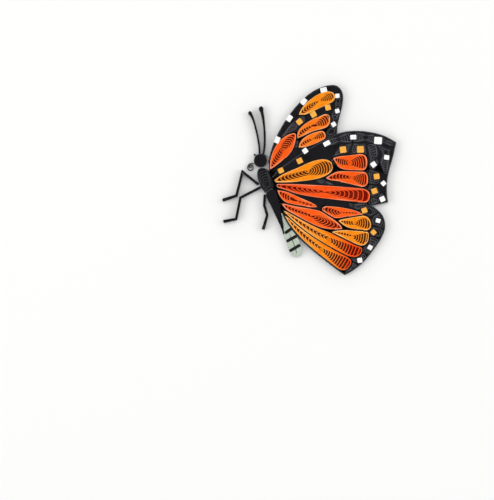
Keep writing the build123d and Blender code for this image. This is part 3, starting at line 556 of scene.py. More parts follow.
def paperOf(name):
    # Quilling paper: uncoated wood-pulp paper, dyed through and cut into narrow strips. So it
    # is matt with next to no gloss, a little cloudy in colour where the dye took unevenly,
    # and fibrous on its faces and its cut edges. Its colour is painted darker further down,
    # as painted shade between the turns, and the top edges of the first turn and of free arcs
    # get a painted highlight.
    rim, paintedShade, outermost = (linearOf(tone) for tone in paperTones[name])
    material = bpy.data.materials.new("quilling_" + name)
    material.use_nodes = True
    tree = material.node_tree
    tree.nodes.clear()
    place = addNode(tree, "ShaderNodeTexCoord").outputs["Object"]
    height = addNode(tree, "ShaderNodeSeparateXYZ", {0: place}).outputs[2]
    # painted shade: the colour goes from the dark tone low down to the cut edges' tone at the top
    lit = addNode(tree, "ShaderNodeMapRange", {
        0: height, 1: paperLook["deepBelow"] * mm, 2: paperLook["litAbove"] * mm, 3: 0.0, 4: 1.0})
    tone = addNode(tree, "ShaderNodeMix", {0: lit.outputs[0], 6: paintedShade, 7: rim}, data_type="RGBA")
    # painted highlight: top faces are painted paler where the attribute asks for it
    outer = addNode(tree, "ShaderNodeAttribute", attribute_name="outermost").outputs["Fac"]
    up = addNode(tree, "ShaderNodeSeparateXYZ", {
        0: addNode(tree, "ShaderNodeNewGeometry").outputs["Normal"]}).outputs[2]
    edge = addNode(tree, "ShaderNodeMath", {0: outer, 1: up}, operation="MULTIPLY", use_clamp=True)
    withPaintedHighlight = addNode(tree, "ShaderNodeMix", {0: edge.outputs[0], 6: tone.outputs[2], 7: outermost},
                    data_type="RGBA")
    blush = addNode(tree, "ShaderNodeAttribute", attribute_name="blush").outputs["Fac"]
    dyed = addNode(tree, "ShaderNodeMix", {
        0: blush, 6: withPaintedHighlight.outputs[2], 7: linearOf(paperLook["blush"])},
        data_type="RGBA", blend_type="MULTIPLY")
    cloud = addNode(tree, "ShaderNodeTexNoise", {
        0: place, 2: 1 / (paperLook["cloudSize"] * mm), 3: paperLook["cloudDetail"]})
    dark, pale = paperLook["cloudTone"]
    shade = addNode(tree, "ShaderNodeMapRange", {0: cloud.outputs[0], 1: 0.3, 2: 0.7, 3: dark, 4: pale})
    colour = addNode(tree, "ShaderNodeVectorMath", {0: dyed.outputs[2], 1: shade.outputs[0]},
                     operation="MULTIPLY")
    fibre = addNode(tree, "ShaderNodeTexNoise", {
        0: place, 2: 1 / (paperLook["fibreSize"] * mm), 3: paperLook["fibreDetail"]})
    bump = addNode(tree, "ShaderNodeBump", {
        0: paperLook["fibreStrength"], 1: paperLook["fibreHeight"] * mm, 2: fibre.outputs[0]})
    skin = addNode(tree, "ShaderNodeBsdfPrincipled", {
        "Base Color": colour.outputs[0], "Roughness": paperLook["roughness"],
        "Specular IOR Level": paperLook["gloss"], "Normal": bump.outputs[0]})
    addNode(tree, "ShaderNodeOutputMaterial", {0: skin.outputs[0]})
    return material


papers = {name: paperOf(name) for name in paperTones}


def settle(piece, paper, *replaced):
    # a finished piece gets its paper, hangs from the root body, and hides the nodes it stands for
    piece.data.materials.append(papers[paper])
    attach(piece, "root")
    if replaced:
        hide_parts(*replaced)


# orange coils, each in the hollow of its black wrap

orangeCoils = {
    # the place of each eye as the photograph shows it, in mm, and how many arcs lie beside it
    "far_forewing_tip_coil": {"eye": (3.6, 27.7), "arcs": 9, "slot": "light_orange_paper"},
    "far_forewing_centre_coil": {"eye": (1.8, 18.9), "arcs": 8, "slot": "orange_paper"},
    "far_forewing_small_coil": {"eye": (1.1, 14.6), "arcs": 7, "slot": "orange_paper"},
    "far_forewing_root_coil": {"eye": (-8.9, 10.3), "arcs": 9, "slot": "red_orange_paper"},
    "near_forewing_drop_coil": {"eye": (-0.4, 3.5), "arcs": 10, "slot": "light_orange_paper"},
    "near_forewing_upper_coil": {"eye": (14.1, 6.3), "arcs": 8, "slot": "red_orange_paper"},
    "near_forewing_lower_coil": {"eye": (14.9, 0.8), "arcs": 8, "slot": "red_orange_paper"},
    "near_forewing_long_coil": {"eye": (5.6, -3.9), "arcs": 10, "slot": "red_paper"},
    "hind_wing_front_coil": {"eye": (-5.0, -6.2), "arcs": 7, "slot": "red_orange_paper"},
    "hind_wing_upper_coil": {"eye": (11.6, -11.3), "arcs": 7, "slot": "red_orange_paper"},
    "hind_wing_centre_coil": {"eye": (0.8, -11.9), "arcs": 10, "slot": "red_orange_paper"},
    "hind_wing_outer_coil": {"eye": (16.1, -14.8), "arcs": 7, "slot": "light_orange_paper"},
    "hind_wing_lower_coil": {"eye": (15.1, -19.8), "arcs": 7, "slot": "light_orange_paper"},
    "hind_wing_upper_stripe_coil": {
        "eye": (5.6, -19.0), "arcs": 12, "slot": "light_orange_paper", "blushFrom": 6.0, "packed": 0.6,
        "freeLit": 0.35},
    "hind_wing_lower_stripe_coil": {
        "eye": (3.6, -22.6), "arcs": 12, "slot": "light_orange_paper", "blushFrom": 5.0, "packed": 0.6,
        "freeLit": 0.35},
}
orangeWinding = {
    "pitch": 0.17,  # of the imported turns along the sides, in mm
    "paper": 0.235,
    "touching": 0.36,  # turns nearer than this are pressed together, in mm
    "open": 0.62,  # turns further apart than this stand free
    "packed": 0.85,  # share of a coil's room that the arcs' turns take along its sides
    "rollLine": 0.35,  # share of the pitch that stays open in the roll round the eye
    "firstLit": 1.0, "freeLit": 0.12,  # how much painted highlight the first turn and the free arcs get on their top edges
    "bend": 0.42,  # of the arcs, from 0, straight across, to 1, as round as the cell
    "spread": 1.15,  # above 1 the arcs are wider apart towards the ends
    "stations": 110,
    "hollow": 0.24,
    # how far at most the web of painted shade reaches, in mm
    "glueReach": 3.4,
    "flat": False,
    "leastRoom": 0.7, "eyeStep": 0.05,  # share of the cell's room that its eye keeps, and steps to it
    "blushReach": 9.0,  # how far a stripe takes to turn red, in mm
}


def hollowsOf(wraps):
    # the hollows of the wraps, each as a cell
    outlines = topOf(wraps)
    areas = [np.sum(o[:, 0] * np.roll(o[:, 1], -1) - o[:, 1] * np.roll(o[:, 0], -1)) for o in outlines]
    return [outline[::-1] for outline, area in zip(outlines, areas) if area < 0]


hollows = [cell for wing in wings for cell in hollowsOf(wing + "_wraps")]
for name, look in orangeCoils.items():
    low, high = (np.array(corner[:2]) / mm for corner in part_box(name))
    cell = min(hollows, key=lambda c: abs((c.min(axis=0) + c.max(axis=0)) / 2 - (low + high) / 2).sum())
    middle = roomiest(cell)
    share, way = 1.0, np.array(look["eye"]) - middle
    while roomAt(middle + way * share, cell) < orangeWinding["leastRoom"] * roomAt(middle, cell):
        share -= orangeWinding["eyeStep"]
    piece = ribbonPiece(name.replace("_coil", "_winding"),
                        [coilRibbon(cell, middle + way * share, orangeWinding | look)])
    if "blushFrom" in look:
        across = np.empty(len(piece.data.vertices) * 3, np.float32)
        piece.data.vertices.foreach_get("co", across)
        blush = np.clip((across[::3] / mm - look["blushFrom"]) / orangeWinding["blushReach"], 0, 1)
        piece.data.attributes.new("blush", "FLOAT", "POINT").data.foreach_set("value", blush)
    settle(piece, look["slot"], name)
print("orange coils wound:", len(orangeCoils))

# black coils: the wings' plan in mm, x to the right and y up, with the corners of the cells
# in order, group by group. Cells that lie side by side share corners.

plan = {
    "edge": [
        (-12.6, 0.9), (-11.0, 3.0), (-8.2, 5.1), (-5.4, 7.1), (-2.7, 9.0), (0.2, 10.8), (3.0, 12.4),
        (6.4, 14.3), (9.6, 15.9), (12.6, 16.7), (15.3, 17.0), (19.4, 16.9), (23.3, 16.2), (26.6, 15.2),
        (30.2, 13.1), (29.8, 11.6), (29.2, 8.4), (28.0, 4.6), (27.3, 1.6), (26.9, -1.9), (26.9, -4.6),
        (27.3, -7.5), (24.0, -8.2), (21.2, -8.8),
    ],
    "rib": [
        (-1.0, 8.4), (2.6, 10.2), (6.2, 11.7), (10.4, 12.7), (15.3, 13.2), (19.8, 13.2), (23.6, 12.7),
        (26.8, 12.3),
    ],
    "drop": [
        (-10.2, 1.9), (-7.2, 3.3), (-4.2, 4.5), (-0.4, 6.3), (2.2, 7.2), (5.0, 7.7), (7.6, 7.0),
        (8.9, 4.9), (5.2, 0.8), (1.8, -0.1), (-2.2, -0.6), (-6.6, -1.05),
    ],
    "upper": [
        (7.9, 7.9), (10.2, 8.7), (14.2, 9.0), (18.4, 9.6), (20.4, 8.6), (20.8, 5.8),
    ],
    "lower": [
        (19.9, 3.2), (8.9, 6.0), (20.9, 1.6), (20.9, -1.4), (19.2, -2.75), (15.2, -1.7), (11.0, -0.75),
        (7.0, -0.3),
    ],
    "long": [
        (-1.5, -1.25), (4.0, -1.55), (9.6, -1.9), (14.8, -2.35), (21.3, -3.7), (21.7, -6.0),
        (20.6, -8.1), (13.6, -7.7), (6.4, -6.8), (1.4, -6.2), (-3.6, -5.25), (-6.0, -4.55),
    ],
    "mid": [
        (9.6, 10.4), (20.6, 11.0), (24.8, 9.2), (24.7, 5.8), (22.8, 3.5), (21.0, 4.2), (26.2, 2.4),
        (24.8, 3.2), (25.3, 0.6), (24.2, -1.7), (25.1, -4.4), (24.2, -6.4),
    ],
    "seam": [
        (-3.6, -5.7), (1.4, -7.8), (5.0, -8.8), (9.6, -9.0), (14.0, -9.8), (17.2, -10.7), (19.6, -9.5),
    ],
    "front": [
        (-11.5, -3.15), (4.0, -9.6), (0.2, -9.75), (-10.85, -5.3),
    ],
    "inner": [
        (-10.05, -8.2), (3.9, -10.5),
    ],
    "outer": [
        (19.6, -12.1), (21.1, -17.8), (22.2, -16.0), (21.4, -13.3), (18.9, -23.5), (21.0, -22.0),
        (21.3, -19.5),
    ],
    "stripe": [
        (18.9, -25.4), (17.2, -27.2), (14.2, -27.1), (15.3, -28.6), (14.4, -30.6), (12.6, -32.0),
    ],
    "rim": [
        (22.4, -9.6), (24.4, -11.1), (25.9, -13.1), (26.4, -15.6), (26.3, -17.0), (25.9, -18.4),
        (25.0, -20.2), (24.4, -21.3), (22.2, -24.4), (20.9, -26.1), (19.9, -27.4), (17.4, -29.9),
        (14.8, -31.7), (12.6, -32.9), (10.4, -31.5), (5.8, -27.9), (1.6, -24.6), (-2.4, -21.0),
        (-5.5, -17.5), (-7.6, -14.6), (-8.9, -12.0),
    ],
    "far": [
        (-13.95, 3.2), (-14.1, 6.2), (-13.3, 9.4), (-12.3, 12.6), (-11.0, 15.6), (-9.4, 18.6),
        (-7.6, 21.4), (-5.6, 24.2), (-3.0, 27.2), (-0.2, 29.8), (3.2, 31.9), (6.6, 33.0), (9.6, 33.1),
        (11.3, 31.2), (11.7, 28.6), (11.1, 25.2), (10.3, 22.2), (9.6, 19.4),
    ],
    "root": [
        (-13.0, 3.1), (-11.6, 4.7), (-9.2, 6.6), (-7.0, 8.7), (-5.3, 11.1), (-4.4, 14.3), (-4.3, 17.0),
        (-7.6, 16.3), (-10.3, 14.3), (-12.0, 12.2),
    ],
    "band": [
        (-8.8, 16.9), (-7.2, 19.4), (-5.4, 21.9), (-4.2, 22.6), (-3.2, 25.0), (-1.4, 27.2), (1.0, 29.2),
        (3.7, 30.8), (6.5, 31.6), (8.8, 31.0), (9.5, 29.2), (8.8, 27.5), (6.2, 26.2), (2.4, 24.5),
        (-1.4, 22.7),
    ],
    "centre": [
        (-3.2, 18.6), (-1.0, 20.4), (2.0, 22.0), (5.6, 23.7), (7.5, 23.1), (7.8, 20.6), (6.8, 18.5),
        (-3.4, 13.8), (8.9, 25.0),
    ],
    "small": [
        (-4.2, 11.0), (5.9, 16.8), (-1.0, 11.5),
    ],
}
besideBy = 0.42  # how far off the near forewing's edge the far forewing's cells end, in mm
plan["beside"] = np.array(plan["edge"]) + besideBy * leftOf(np.array(plan["edge"]))
# cells as corners of the plan; a star marks a pinched corner
blackCells = {
    "far_forewing_leading_coils": [
        "far3* root10 root9 band1 far6 far5 far4",
        "far6 band1 band2 band3 band4 far8 far7",
        "far8 band4 band5 band6 far10 far9",
        "far10 band6 band7 band8 far11",
    ],
    "far_forewing_tip_coils": [
        "far11 band8 band9 band10 band11 far14 far13 far12",
        "far14 band11 band12 centre9 far16 far15",
    ],
    "far_forewing_middle_coils": [
        "root9* root8 root7 centre1 centre2 band15 band4 band3 band2 band1",
        "band15 centre2 centre3 centre4 centre5 centre9 band12 band13 band14",
    ],
    "far_forewing_margin_coils": [
        "centre9 centre5 centre6 centre7 far18 far17 far16",
        "centre7 small2 beside8 beside9 far18",
    ],
    "far_forewing_rear_coil": [
        "small1* beside5 beside6 beside7* small3",
        "root5 small1 centre8 root6",
    ],
    "far_forewing_root_black_coil": [
        "root1* beside2 beside3 beside4 beside5 small1 root5 root4 root3 root2",
    ],
    "near_forewing_leading_coil": [
        "edge5* rib1 rib2 rib3 edge8 edge7 edge6",
    ],
    "near_forewing_leading_middle_coils": [
        "edge8 rib3 rib4 rib5 edge11 edge10 edge9",
        "edge11 rib5 rib6 rib7 edge13 edge12",
    ],
    "near_forewing_tip_coil": [
        "edge13 rib7 rib8 edge16 edge15* edge14",
    ],
    "near_forewing_root_black_coil": [
        "edge1* drop1 drop2 drop3 rib1 edge5 edge4 edge3 edge2",
    ],
    "near_forewing_inner_coil": [
        "drop3* drop4 drop5 drop6 drop7 upper1 mid1 rib4 rib3 rib2 rib1",
        "drop7 drop8 lower2 upper1",
    ],
    "near_forewing_middle_coils": [
        "mid1 upper1 upper2 upper3 rib5 rib4",
        "rib5 upper3 upper4 upper5 mid2 rib6",
    ],
    "near_forewing_tip_inner_coil": [
        "rib6 mid2 upper5 upper6 mid6 mid5* mid4 mid3 rib7",
    ],
    "near_forewing_tip_outer_coil": [
        "rib7 mid3 mid4 mid7* edge19 edge18 edge17 edge16 rib8",
    ],
    "near_forewing_margin_coils": [
        "lower1 lower3 lower4 mid10 mid9 mid8 mid5 mid6",
        "mid8 mid9 mid10 mid11 edge21 edge20 edge19 mid7",
    ],
    "near_forewing_corner_coils": [
        "lower5 long5 long6 mid12 mid11 mid10 lower4",
        "mid11 mid12 long6 long7 edge24 edge23 edge22* edge21",
    ],
    "near_forewing_slot_coils": [
        "drop12* long1 long2 drop10 drop11",
        "drop10 long2 long3 lower8 drop9",
        "lower8 long3 long4 lower5 lower6 lower7",
    ],
    "near_forewing_rear_coils": [
        "long12* seam1 seam2 seam3 long9 long10 long11",
        "long9 seam3 seam4 seam5 long8",
        "seam2 front2 front3 inner2 seam3",
        "long8 seam5 seam6 seam7 edge24 long7",
    ],
    "hind_wing_margin_upper_coils": [
        "seam6 outer1 outer4 rim2 rim1 edge24 seam7",
        "outer4 outer3 rim5 rim4 rim3 rim2",
    ],
    "hind_wing_margin_middle_coils": [
        "outer3 outer2 outer7 rim7 rim6 rim5",
        "outer7 outer6 outer5 stripe1 rim10 rim9 rim8 rim7",
    ],
    "hind_wing_margin_lower_coils": [
        "stripe1 stripe2 stripe3 stripe4 rim12 rim11 rim10",
        "stripe4 stripe5 stripe6 rim14* rim13 rim12",
    ],
}
# corners with a long bend, as those where another cell bends inwards have
cutCorners = {"band14", "drop3", "long9", "lower6", "lower7", "seam1", "upper3"}
blackWinding = {
    "pitch": 0.15, "paper": 0.15, "bend": 0.5, "spread": 1.1, "stations": 80, "hollow": 0.15,
    "fill": 0.95, "glueReach": 2.2, "touching": 0.2, "open": 0.4,
    "packed": 0.7, "rollLine": 0.1, "firstLit": 0.1, "freeLit": 0.95,
    "arcSpacing": 0.85, "leastArcs": 3,  # of the arcs towards the ends of a cell, in mm
    "cornerReach": 0.5,  # how far from its corners a squeezed coil bends away, in mm
    "sharpCorner": 55,  # in degrees: a corner that turns more is filled
    "bendStations": 6,  # of an outline, round a corner
    "glueLine": 0.03,  # between a cell's outline and its coil, in mm
}


def spotsOf(words):
    # places of the plan; a word is one place or a run, such as edge1-24
    spots = []
    for word in words.split():
        group = word.rstrip("0123456789-")
        first, _, last = word[len(group):].partition("-")
        first, last = int(first), int(last or first)
        step = 1 if last >= first else -1
        spots += [plan[group][k - 1] for k in range(first, last + step, step)]
    return np.array(spots, float)


def isClockwise(places):
    # whether closed places go round clockwise: twice their area with its sign is below zero
    after = np.roll(places, -1, axis=0)
    return (places[:, 0] * after[:, 1] - places[:, 1] * after[:, 0]).sum() < 0


def plannedCorners(cell):
    # the corners of a cell, counter-clockwise: names and places
    words = cell.replace("*", "")
    names, places = words.split(), spotsOf(words)
    return (names[::-1], places[::-1]) if isClockwise(places) else (names, places)


def turnsAt(places):
    # how far a closed outline turns left at each place, in degrees
    into, out = places - np.roll(places, 1, axis=0), np.roll(places, -1, axis=0) - places
    return np.degrees(np.arctan2(into[:, 0] * out[:, 1] - into[:, 1] * out[:, 0], (into * out).sum(axis=1)))


hollowCorners = cutCorners | {f"edge{k}" for k in range(1, 25)} | {f"rim{k}" for k in range(1, 22)}
hollowCorners |= {f"far{k}" for k in range(2, 19)}
for cell in sum(blackCells.values(), []):
    names, places = plannedCorners(cell)
    hollowCorners |= {name for name, turn in zip(names, turnsAt(places)) if turn < 0}


def roundedCell(cell):
    # A cell's outline. At the plan's outer corners, and where another cell bends inwards, a
    # bend goes from the middle of one side to the middle of the next. Elsewhere it keeps to
    # the corner, and a pinched corner has none. A bend is a quadratic curve.
    names, places = plannedCorners(cell)
    pinched = {word.strip("*") for word in cell.split() if word.endswith("*")}
    outline = []
    share = np.linspace(0, 1, blackWinding["bendStations"])[:, None]
    for k, (name, turn) in enumerate(zip(names, turnsAt(places))):
        here = places[k]
        toLast, toNext = (places[k - 1] - here) / 2, (places[(k + 1) % len(names)] - here) / 2
        if name in pinched:
            outline.append(here[None])
            continue
        if abs(turn) > blackWinding["sharpCorner"] or name not in hollowCorners:
            toLast = toLast * min(1, blackWinding["cornerReach"] / np.hypot(*toLast))
            toNext = toNext * min(1, blackWinding["cornerReach"] / np.hypot(*toNext))
        reach = min(np.hypot(*toLast), np.hypot(*toNext))
        before, after = here + toLast * reach / np.hypot(*toLast), here + toNext * reach / np.hypot(*toNext)
        outline.append(before * (1 - share) ** 2 + here * 2 * share * (1 - share) + after * share ** 2)
    outline = np.concatenate(outline)
    outline = outline[np.hypot(*(outline - np.roll(outline, 1, axis=0)).T) > 0.01]  # no place twice
    looped = np.concatenate([outline[-1:], outline, outline[:1]])
    return outline + leftOf(looped)[1:-1] * blackWinding["glueLine"]


for name, cells in blackCells.items():
    ribbons = []
    for planned in cells:
        cell = roundedCell(planned)
        eye = roomiest(cell)
        arcs = round(np.hypot(*(cell - eye).T).max() / blackWinding["arcSpacing"])
        arcs = max(arcs, blackWinding["leastArcs"])
        ribbons.append(coilRibbon(cell, eye, blackWinding | {"arcs": arcs}))
    piece = ribbonPiece(name.replace("_coil", "_winding"), ribbons)
    settle(piece, "black_paper", name)
print("black coils wound:", sum(map(len, blackCells.values())))

# painted shade: thin black sheets low under the joins of the coils, standing in for the shade in the small
# spaces between them

plan["waist"] = [  # along the body's right side
    (-14.9, 4.3), (-14.2, 2.6), (-13.6, 0.6), (-13.1, -1.4), (-12.7, -3.2), (-12.1, -4.8), (-11.2, -7.6),
    (-10.3, -10.6), (-9.9, -12.0),
]
paintedShadeSheets = {
    "low": 0.3, "high": 0.38,  # faces, in mm
    "pieces": {
        "far_forewing_underlay": "far1-18 beside9-1",
        "near_forewing_underlay": "edge1-24 seam7-1 front1",
        "hind_wing_underlay": "front1 seam1-7 rim1-21 front4",
        "root_underlay": "waist1-9 rim21 inner1 front4 front1 edge1 far1",
    },
}
for name, words in paintedShadeSheets["pieces"].items():
    # a wall carried round the places, closed by one face above and one below
    outline = spotsOf(words)
    outline = outline[::-1] if isClockwise(outline) else outline
    n = len(outline)
    k = np.arange(n)
    low, high = (np.column_stack([outline, np.full(n, paintedShadeSheets[level])]) for level in ("low", "high"))
    walls = np.stack([k, (k + 1) % n, (k + 1) % n + n, k + n], axis=1)
    faces = walls.tolist() + [k[::-1].tolist(), (k + n).tolist()]
    settle(meshOf(name, np.concatenate([low, high]), faces, {}), "black_paper")
print("underlay cut:", len(paintedShadeSheets["pieces"]))

# thorax, abdomen and tail

body = {
    "thorax": {
        "eye": (-14.6, -1.6), "arcs": 7, "spread": 1.0, "pitch": 0.16, "freeLit": 0.45, "flat": False,
        "slot": "black_paper"},
    "abdomen": {"pitch": 0.16, "flat": True, "slot": "black_paper"},
    "tail_coil": {"pitch": 0.19, "paper": 0.18, "flat": True, "fill": 0.9, "slot": "pale_grey_paper"},
}
for name, look in body.items():
    cell, eye = cellOf(topOf(name)[0])
    look = blackWinding | {"stations": 160} | look
    coil = coilRibbon(cell, look.get("eye", eye), look)
    settle(ribbonPiece(name.replace("_coil", "") + "_winding", [coil]), look["slot"], name)

# head: a tight round coil whose loose end springs away

head = {
    "middle": (2.37, 2.29),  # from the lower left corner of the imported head's box, in mm
    "radius": 2.5, "pitch": 0.165, "paper": 0.14, "hollow": 0.28, "stations": 60,
    "endAngle": 27,  # of the strip's loose end, in degrees
    "lift": 0.4, "liftTurns": 0.15,  # how far the loose end springs away, in mm, and over how much
    "paleTurns": 1.1, "paleOver": 0.1,  # where the first turn's painted highlight ends, in turns
    "web": 0.95, "waves": 90,  # the web of painted shade as a share of the pitch, and waves of the top edge
}
headMiddle = np.array(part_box("head")[0][:2]) / mm + head["middle"]
turn = np.arange(0, (head["radius"] - head["hollow"]) / head["pitch"], 1 / head["stations"])
angle = math.radians(head["endAngle"]) + 2 * math.pi * turn
radius = head["radius"] - head["pitch"] * turn
radius += head["lift"] * np.maximum(0, 1 - turn / head["liftTurns"]) ** 2
headPath = headMiddle + radius[:, None] * np.stack([np.cos(angle), np.sin(angle)], axis=1)
top = cadStrip["height"] - ribbon["worn"] - wander(len(turn), ribbon["waver"], head["waves"])
headGrid = ribbonGrid(headPath, head["paper"], top, head["pitch"] * head["web"])
# painted highlight on the first turn's top edge
pale = np.clip((head["paleTurns"] - turn) / head["paleOver"], 0, 1)
settle(ribbonPiece("head_winding", [(headGrid, pale)]), "black_paper", "head")

# strips of two plies glued together: round the wings, and the tongue

borderStrip = {
    "thick": cadStrip["border"], "step": 0.25, "share": 0.46,  # step of stations in mm, share of a ply
    "lower": 0.04, "second": 0.035,  # how far the plies' edges run below full height, in mm
    # the last number here is the share of painted highlight on the plies' top edges
    "waver": 0.03, "waveStations": 12, "pale": 0.35,
}
tongueStrip = borderStrip | {
    "thick": cadStrip["tongue"], "step": 0.08, "share": 0.58, "apart": 0.01,
    "lowered": 1.8,  # below the other strips, in mm
    "unrolled": 0.76, "grown": 1.12,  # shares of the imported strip's turns and radii
}


def evenly(path, step):
    # stations along a path, a step apart, in mm
    gone = np.concatenate([[0], np.hypot(*np.diff(path, axis=0).T).cumsum()])
    at = np.linspace(0, gone[-1], max(int(gone[-1] / step), 4))
    return np.stack([np.interp(at, gone, path[:, k]) for k in (0, 1)], axis=1)


def unrolledPath(path, middle):
    # A spiral in fewer turns: each station keeps its share of the radii, and its angle from
    # the outermost station shrinks.
    rays = path - middle
    angle, radius = np.unwrap(np.arctan2(rays[:, 1], rays[:, 0])), np.hypot(rays[:, 0], rays[:, 1])
    far = np.argmax(radius)
    angle = angle[far] + (angle - angle[far]) * tongueStrip["unrolled"]
    return middle + radius[:, None] * tongueStrip["grown"] * np.stack([np.cos(angle), np.sin(angle)], axis=1)


for name in ("near_forewing_border", "hind_wing_border", "far_forewing_border", "tongue"):
    look = tongueStrip if name == "tongue" else borderStrip
    path = evenly(sidesOf(topOf(name)[0], look["thick"])[0], look["step"])
    if name == "tongue":
        path = unrolledPath(path, sum(np.array(corner[:2]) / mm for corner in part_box(name)) / 2)
    ply = look["thick"] * look["share"]
    inner = path + leftOf(path) * (ply + look["apart"] if "apart" in look else look["thick"] - ply)
    plies = []
    for way, lower in ((path, 0.0), (inner, look["second"])):
        waves = max(len(way) // look["waveStations"], 4)
        top = cadStrip["height"] - look["lower"] - lower - wander(len(way), look["waver"], waves)
        plies.append((ribbonGrid(way, ply, top - look.get("lowered", 0), ply), look["pale"]))
    settle(ribbonPiece(name + "_strips", plies), "black_paper", name)

# legs, antennae and palp: strips folded back on themselves

foldMake = {
    "step": 0.08, "smoothing": 3,  # stations along a fold, in mm, and how often they are smoothed
    "clubReach": 1.6,  # from an antenna's tip, in mm
    "inside": 0.02,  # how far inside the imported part's box a thicker strip stays, in mm
    "leastFold": 0.08,  # thickness at a fold, in mm
    # the last number here is the share of painted highlight on the folds' top edges
    "waver": 0.04, "waveStations": 16, "pale": 0.2,
}
antennaWinding = {"stations": 260, "flat": True, "pitch": 0.19, "fill": 0.86}
folds = {  # in mm: swell and club are how much thicker than packed a strip and its tip are
    "front_leg": {"paper": 0.24, "foot": 0.5, "swell": 0.08},
    "middle_leg": {"paper": 0.24, "foot": 0.5, "swell": 0.08},
    "hind_leg": {"paper": 0.24, "foot": 0.5, "swell": 0.08},
    "left_antenna": {"paper": 0.14, "swell": 0.14, "club": 0.14},
    "right_antenna": {"paper": 0.14, "swell": 0.18, "club": 0.28},
    "palp": {"paper": 0.13},
}
for name, look in folds.items():
    outline = topOf(name)[0]
    loop = evenly(closedUp(outline), foldMake["step"])[:-1]
    for _ in range(foldMake["smoothing"]):
        loop = (np.roll(loop, 1, axis=0) + loop + np.roll(loop, -1, axis=0)) / 3
    if "swell" in look:
        tip = loop[np.argmax(loop[:, 1])]
        club = np.clip(foldMake["clubReach"] - np.hypot(*(loop - tip).T), 0, 1) * look.get("club", 0)
        looped = np.concatenate([loop[-1:], loop, loop[:1]])
        loop = loop - leftOf(looped)[1:-1] * (look["swell"] + club)[:, None]
        lowest, highest = (np.array(corner[:2]) / mm for corner in cadBox)
        loop = np.clip(loop, lowest + foldMake["inside"], highest - foldMake["inside"])
    if "antenna" in name:
        antenna = blackWinding | antennaWinding | {"paper": look["paper"]}
        ribbons = [coilRibbon(loop, loop.mean(axis=0), antenna)]
    else:
        path = closedUp(loop)
        waver = wander(len(path), foldMake["waver"], len(path) // foldMake["waveStations"])
        top = cadStrip["height"] - ribbon["worn"] - waver
        top[-1] = top[0]
        most = np.maximum(bendOf(path) * ribbon["foldShare"], foldMake["leastFold"])
        most = np.minimum(np.minimum(most, np.roll(most, 1)), np.roll(most, -1))
        thick = np.minimum(look["paper"], most)
        # the web inside a leg's loop is painted shade over the ground there
        foot = np.minimum(look.get("foot", look["paper"]), most)
        ribbons = [(ribbonGrid(path, thick, top, foot), foldMake["pale"])]
    settle(ribbonPiece(name + "_fold", ribbons), "black_paper", name)
print("head, strips, legs and antennae folded")

# cut paper on top: thin pieces, a little curled

trim = {
    "thick": 0.09, "curl": 0.085, "leastCurl": 0.5,  # in mm, and share of the curl
    "lines": 9, "cornerWear": 0.05, "above": 0.012,  # over the strips' full height, in mm
    "flatTo": 1.3,  # half-sides from the middle, where the curl is full
    "tailWiden": 1.25,  # of the bands on the tail, across them
    "papers": {"white": "white_paper", "orange": "yellow_orange_paper", "tail": "black_paper"},
}


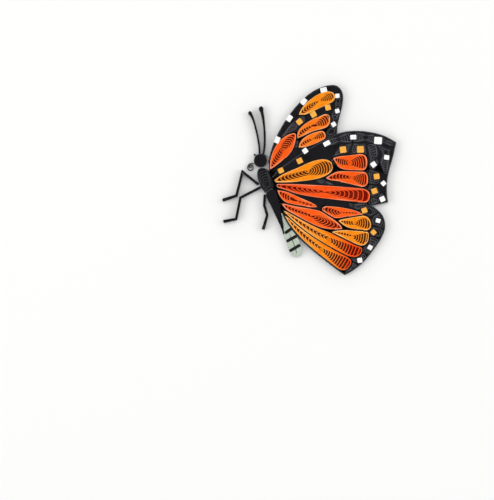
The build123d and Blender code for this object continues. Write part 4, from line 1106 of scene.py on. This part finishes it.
def curledSheets(name):
    # Each sheet is a grid over two parameters from -1 to 1. It is bilinear between its four
    # corners, its corners are a little worn, and it lifts with the square of the way along
    # one direction. The grid is closed with a second one below it and faces round the rim.
    corners, faces, first = [], [], 0
    n = trim["lines"]
    u, v = (c.reshape(-1) for c in np.meshgrid(np.linspace(-1, 1, n), np.linspace(-1, 1, n), indexing="ij"))
    for outline in topOf(name):
        if name == "tail_bands":
            sides = np.roll(outline, -1, axis=0) - outline
            across = min(sides, key=lambda side: np.hypot(*side))
            across = across / np.hypot(*across)
            middle = outline.mean(axis=0)
            outline = outline + np.outer((outline - middle) @ across, across) * (trim["tailWiden"] - 1)
        a, b, c, d = outline[:4]
        wear = 1 - trim["cornerWear"] * np.abs(u * v) ** 6
        s, t = u * wear, v * wear
        flat = (a * ((1 - s) * (1 - t))[:, None] + b * ((1 + s) * (1 - t))[:, None]
                + c * ((1 + s) * (1 + t))[:, None] + d * ((1 - s) * (1 + t))[:, None]) / 4
        way = dice.uniform(0, math.pi)
        along = (u * math.cos(way) + v * math.sin(way)) / trim["flatTo"]
        lift = trim["curl"] * dice.uniform(trim["leastCurl"], 1) * np.minimum(along ** 2, 1)
        low = cadStrip["height"] + trim["above"] + lift
        corners += [np.column_stack([flat, low + trim["thick"]]), np.column_stack([flat, low])]
        k = np.arange(n - 1)
        i, j = (g.reshape(-1) for g in np.meshgrid(k, k, indexing="ij"))
        quads = np.stack([i * n + j, (i + 1) * n + j, (i + 1) * n + j + 1, i * n + j + 1], axis=1)
        rim = np.concatenate([k * n, (n - 1) * n + k, (n - 1 - k) * n + n - 1, (n - 1) - k])
        after = np.roll(rim, -1)
        walls = np.stack([rim, rim + n * n, after + n * n, after], axis=1)
        faces += (first + np.concatenate([quads, quads[:, ::-1] + n * n, walls])).tolist()
        first += 2 * n * n
    return meshOf(name + "_sheets", np.concatenate(corners), faces, {})


for name in sorted(nodes):
    kind = "tail" if name == "tail_bands" else name.split("_")[-2] if name.endswith("_squares") else ""
    if kind in trim["papers"]:
        settle(curledSheets(name), trim["papers"][kind], name)
print("squares and bands laid")

for wing in wings:
    # the wraps are seen as packed, as thin rings of black paper
    wraps = nodes[wing + "_wraps"]
    wraps.data.materials.clear()
    wraps.data.materials.append(papers["black_paper"])

# ground: bleached paperboard, smooth and matt, so only its shade shows

groundHalf = 3.0  # in metres
groundMesh = bpy.data.meshes.new("ground")
groundCorners = [(x * groundHalf, y * groundHalf, 0) for x, y in ((-1, -1), (1, -1), (1, 1), (-1, 1))]
groundMesh.from_pydata(groundCorners, [], [(0, 1, 2, 3)])
ground = bpy.data.objects.new("ground", groundMesh)
ground.location.z = -0.02 * mm  # just below the glue face
bpy.context.scene.collection.objects.link(ground)
groundPaper = bpy.data.materials.new("palePaperboard")
groundPaper.use_nodes = True
groundPaper.node_tree.nodes.clear()
matt = addNode(groundPaper.node_tree, "ShaderNodeBsdfDiffuse", {0: linearOf(light["groundColour"])})
addNode(groundPaper.node_tree, "ShaderNodeOutputMaterial", {0: matt.outputs[0]})
groundMesh.materials.append(groundPaper)
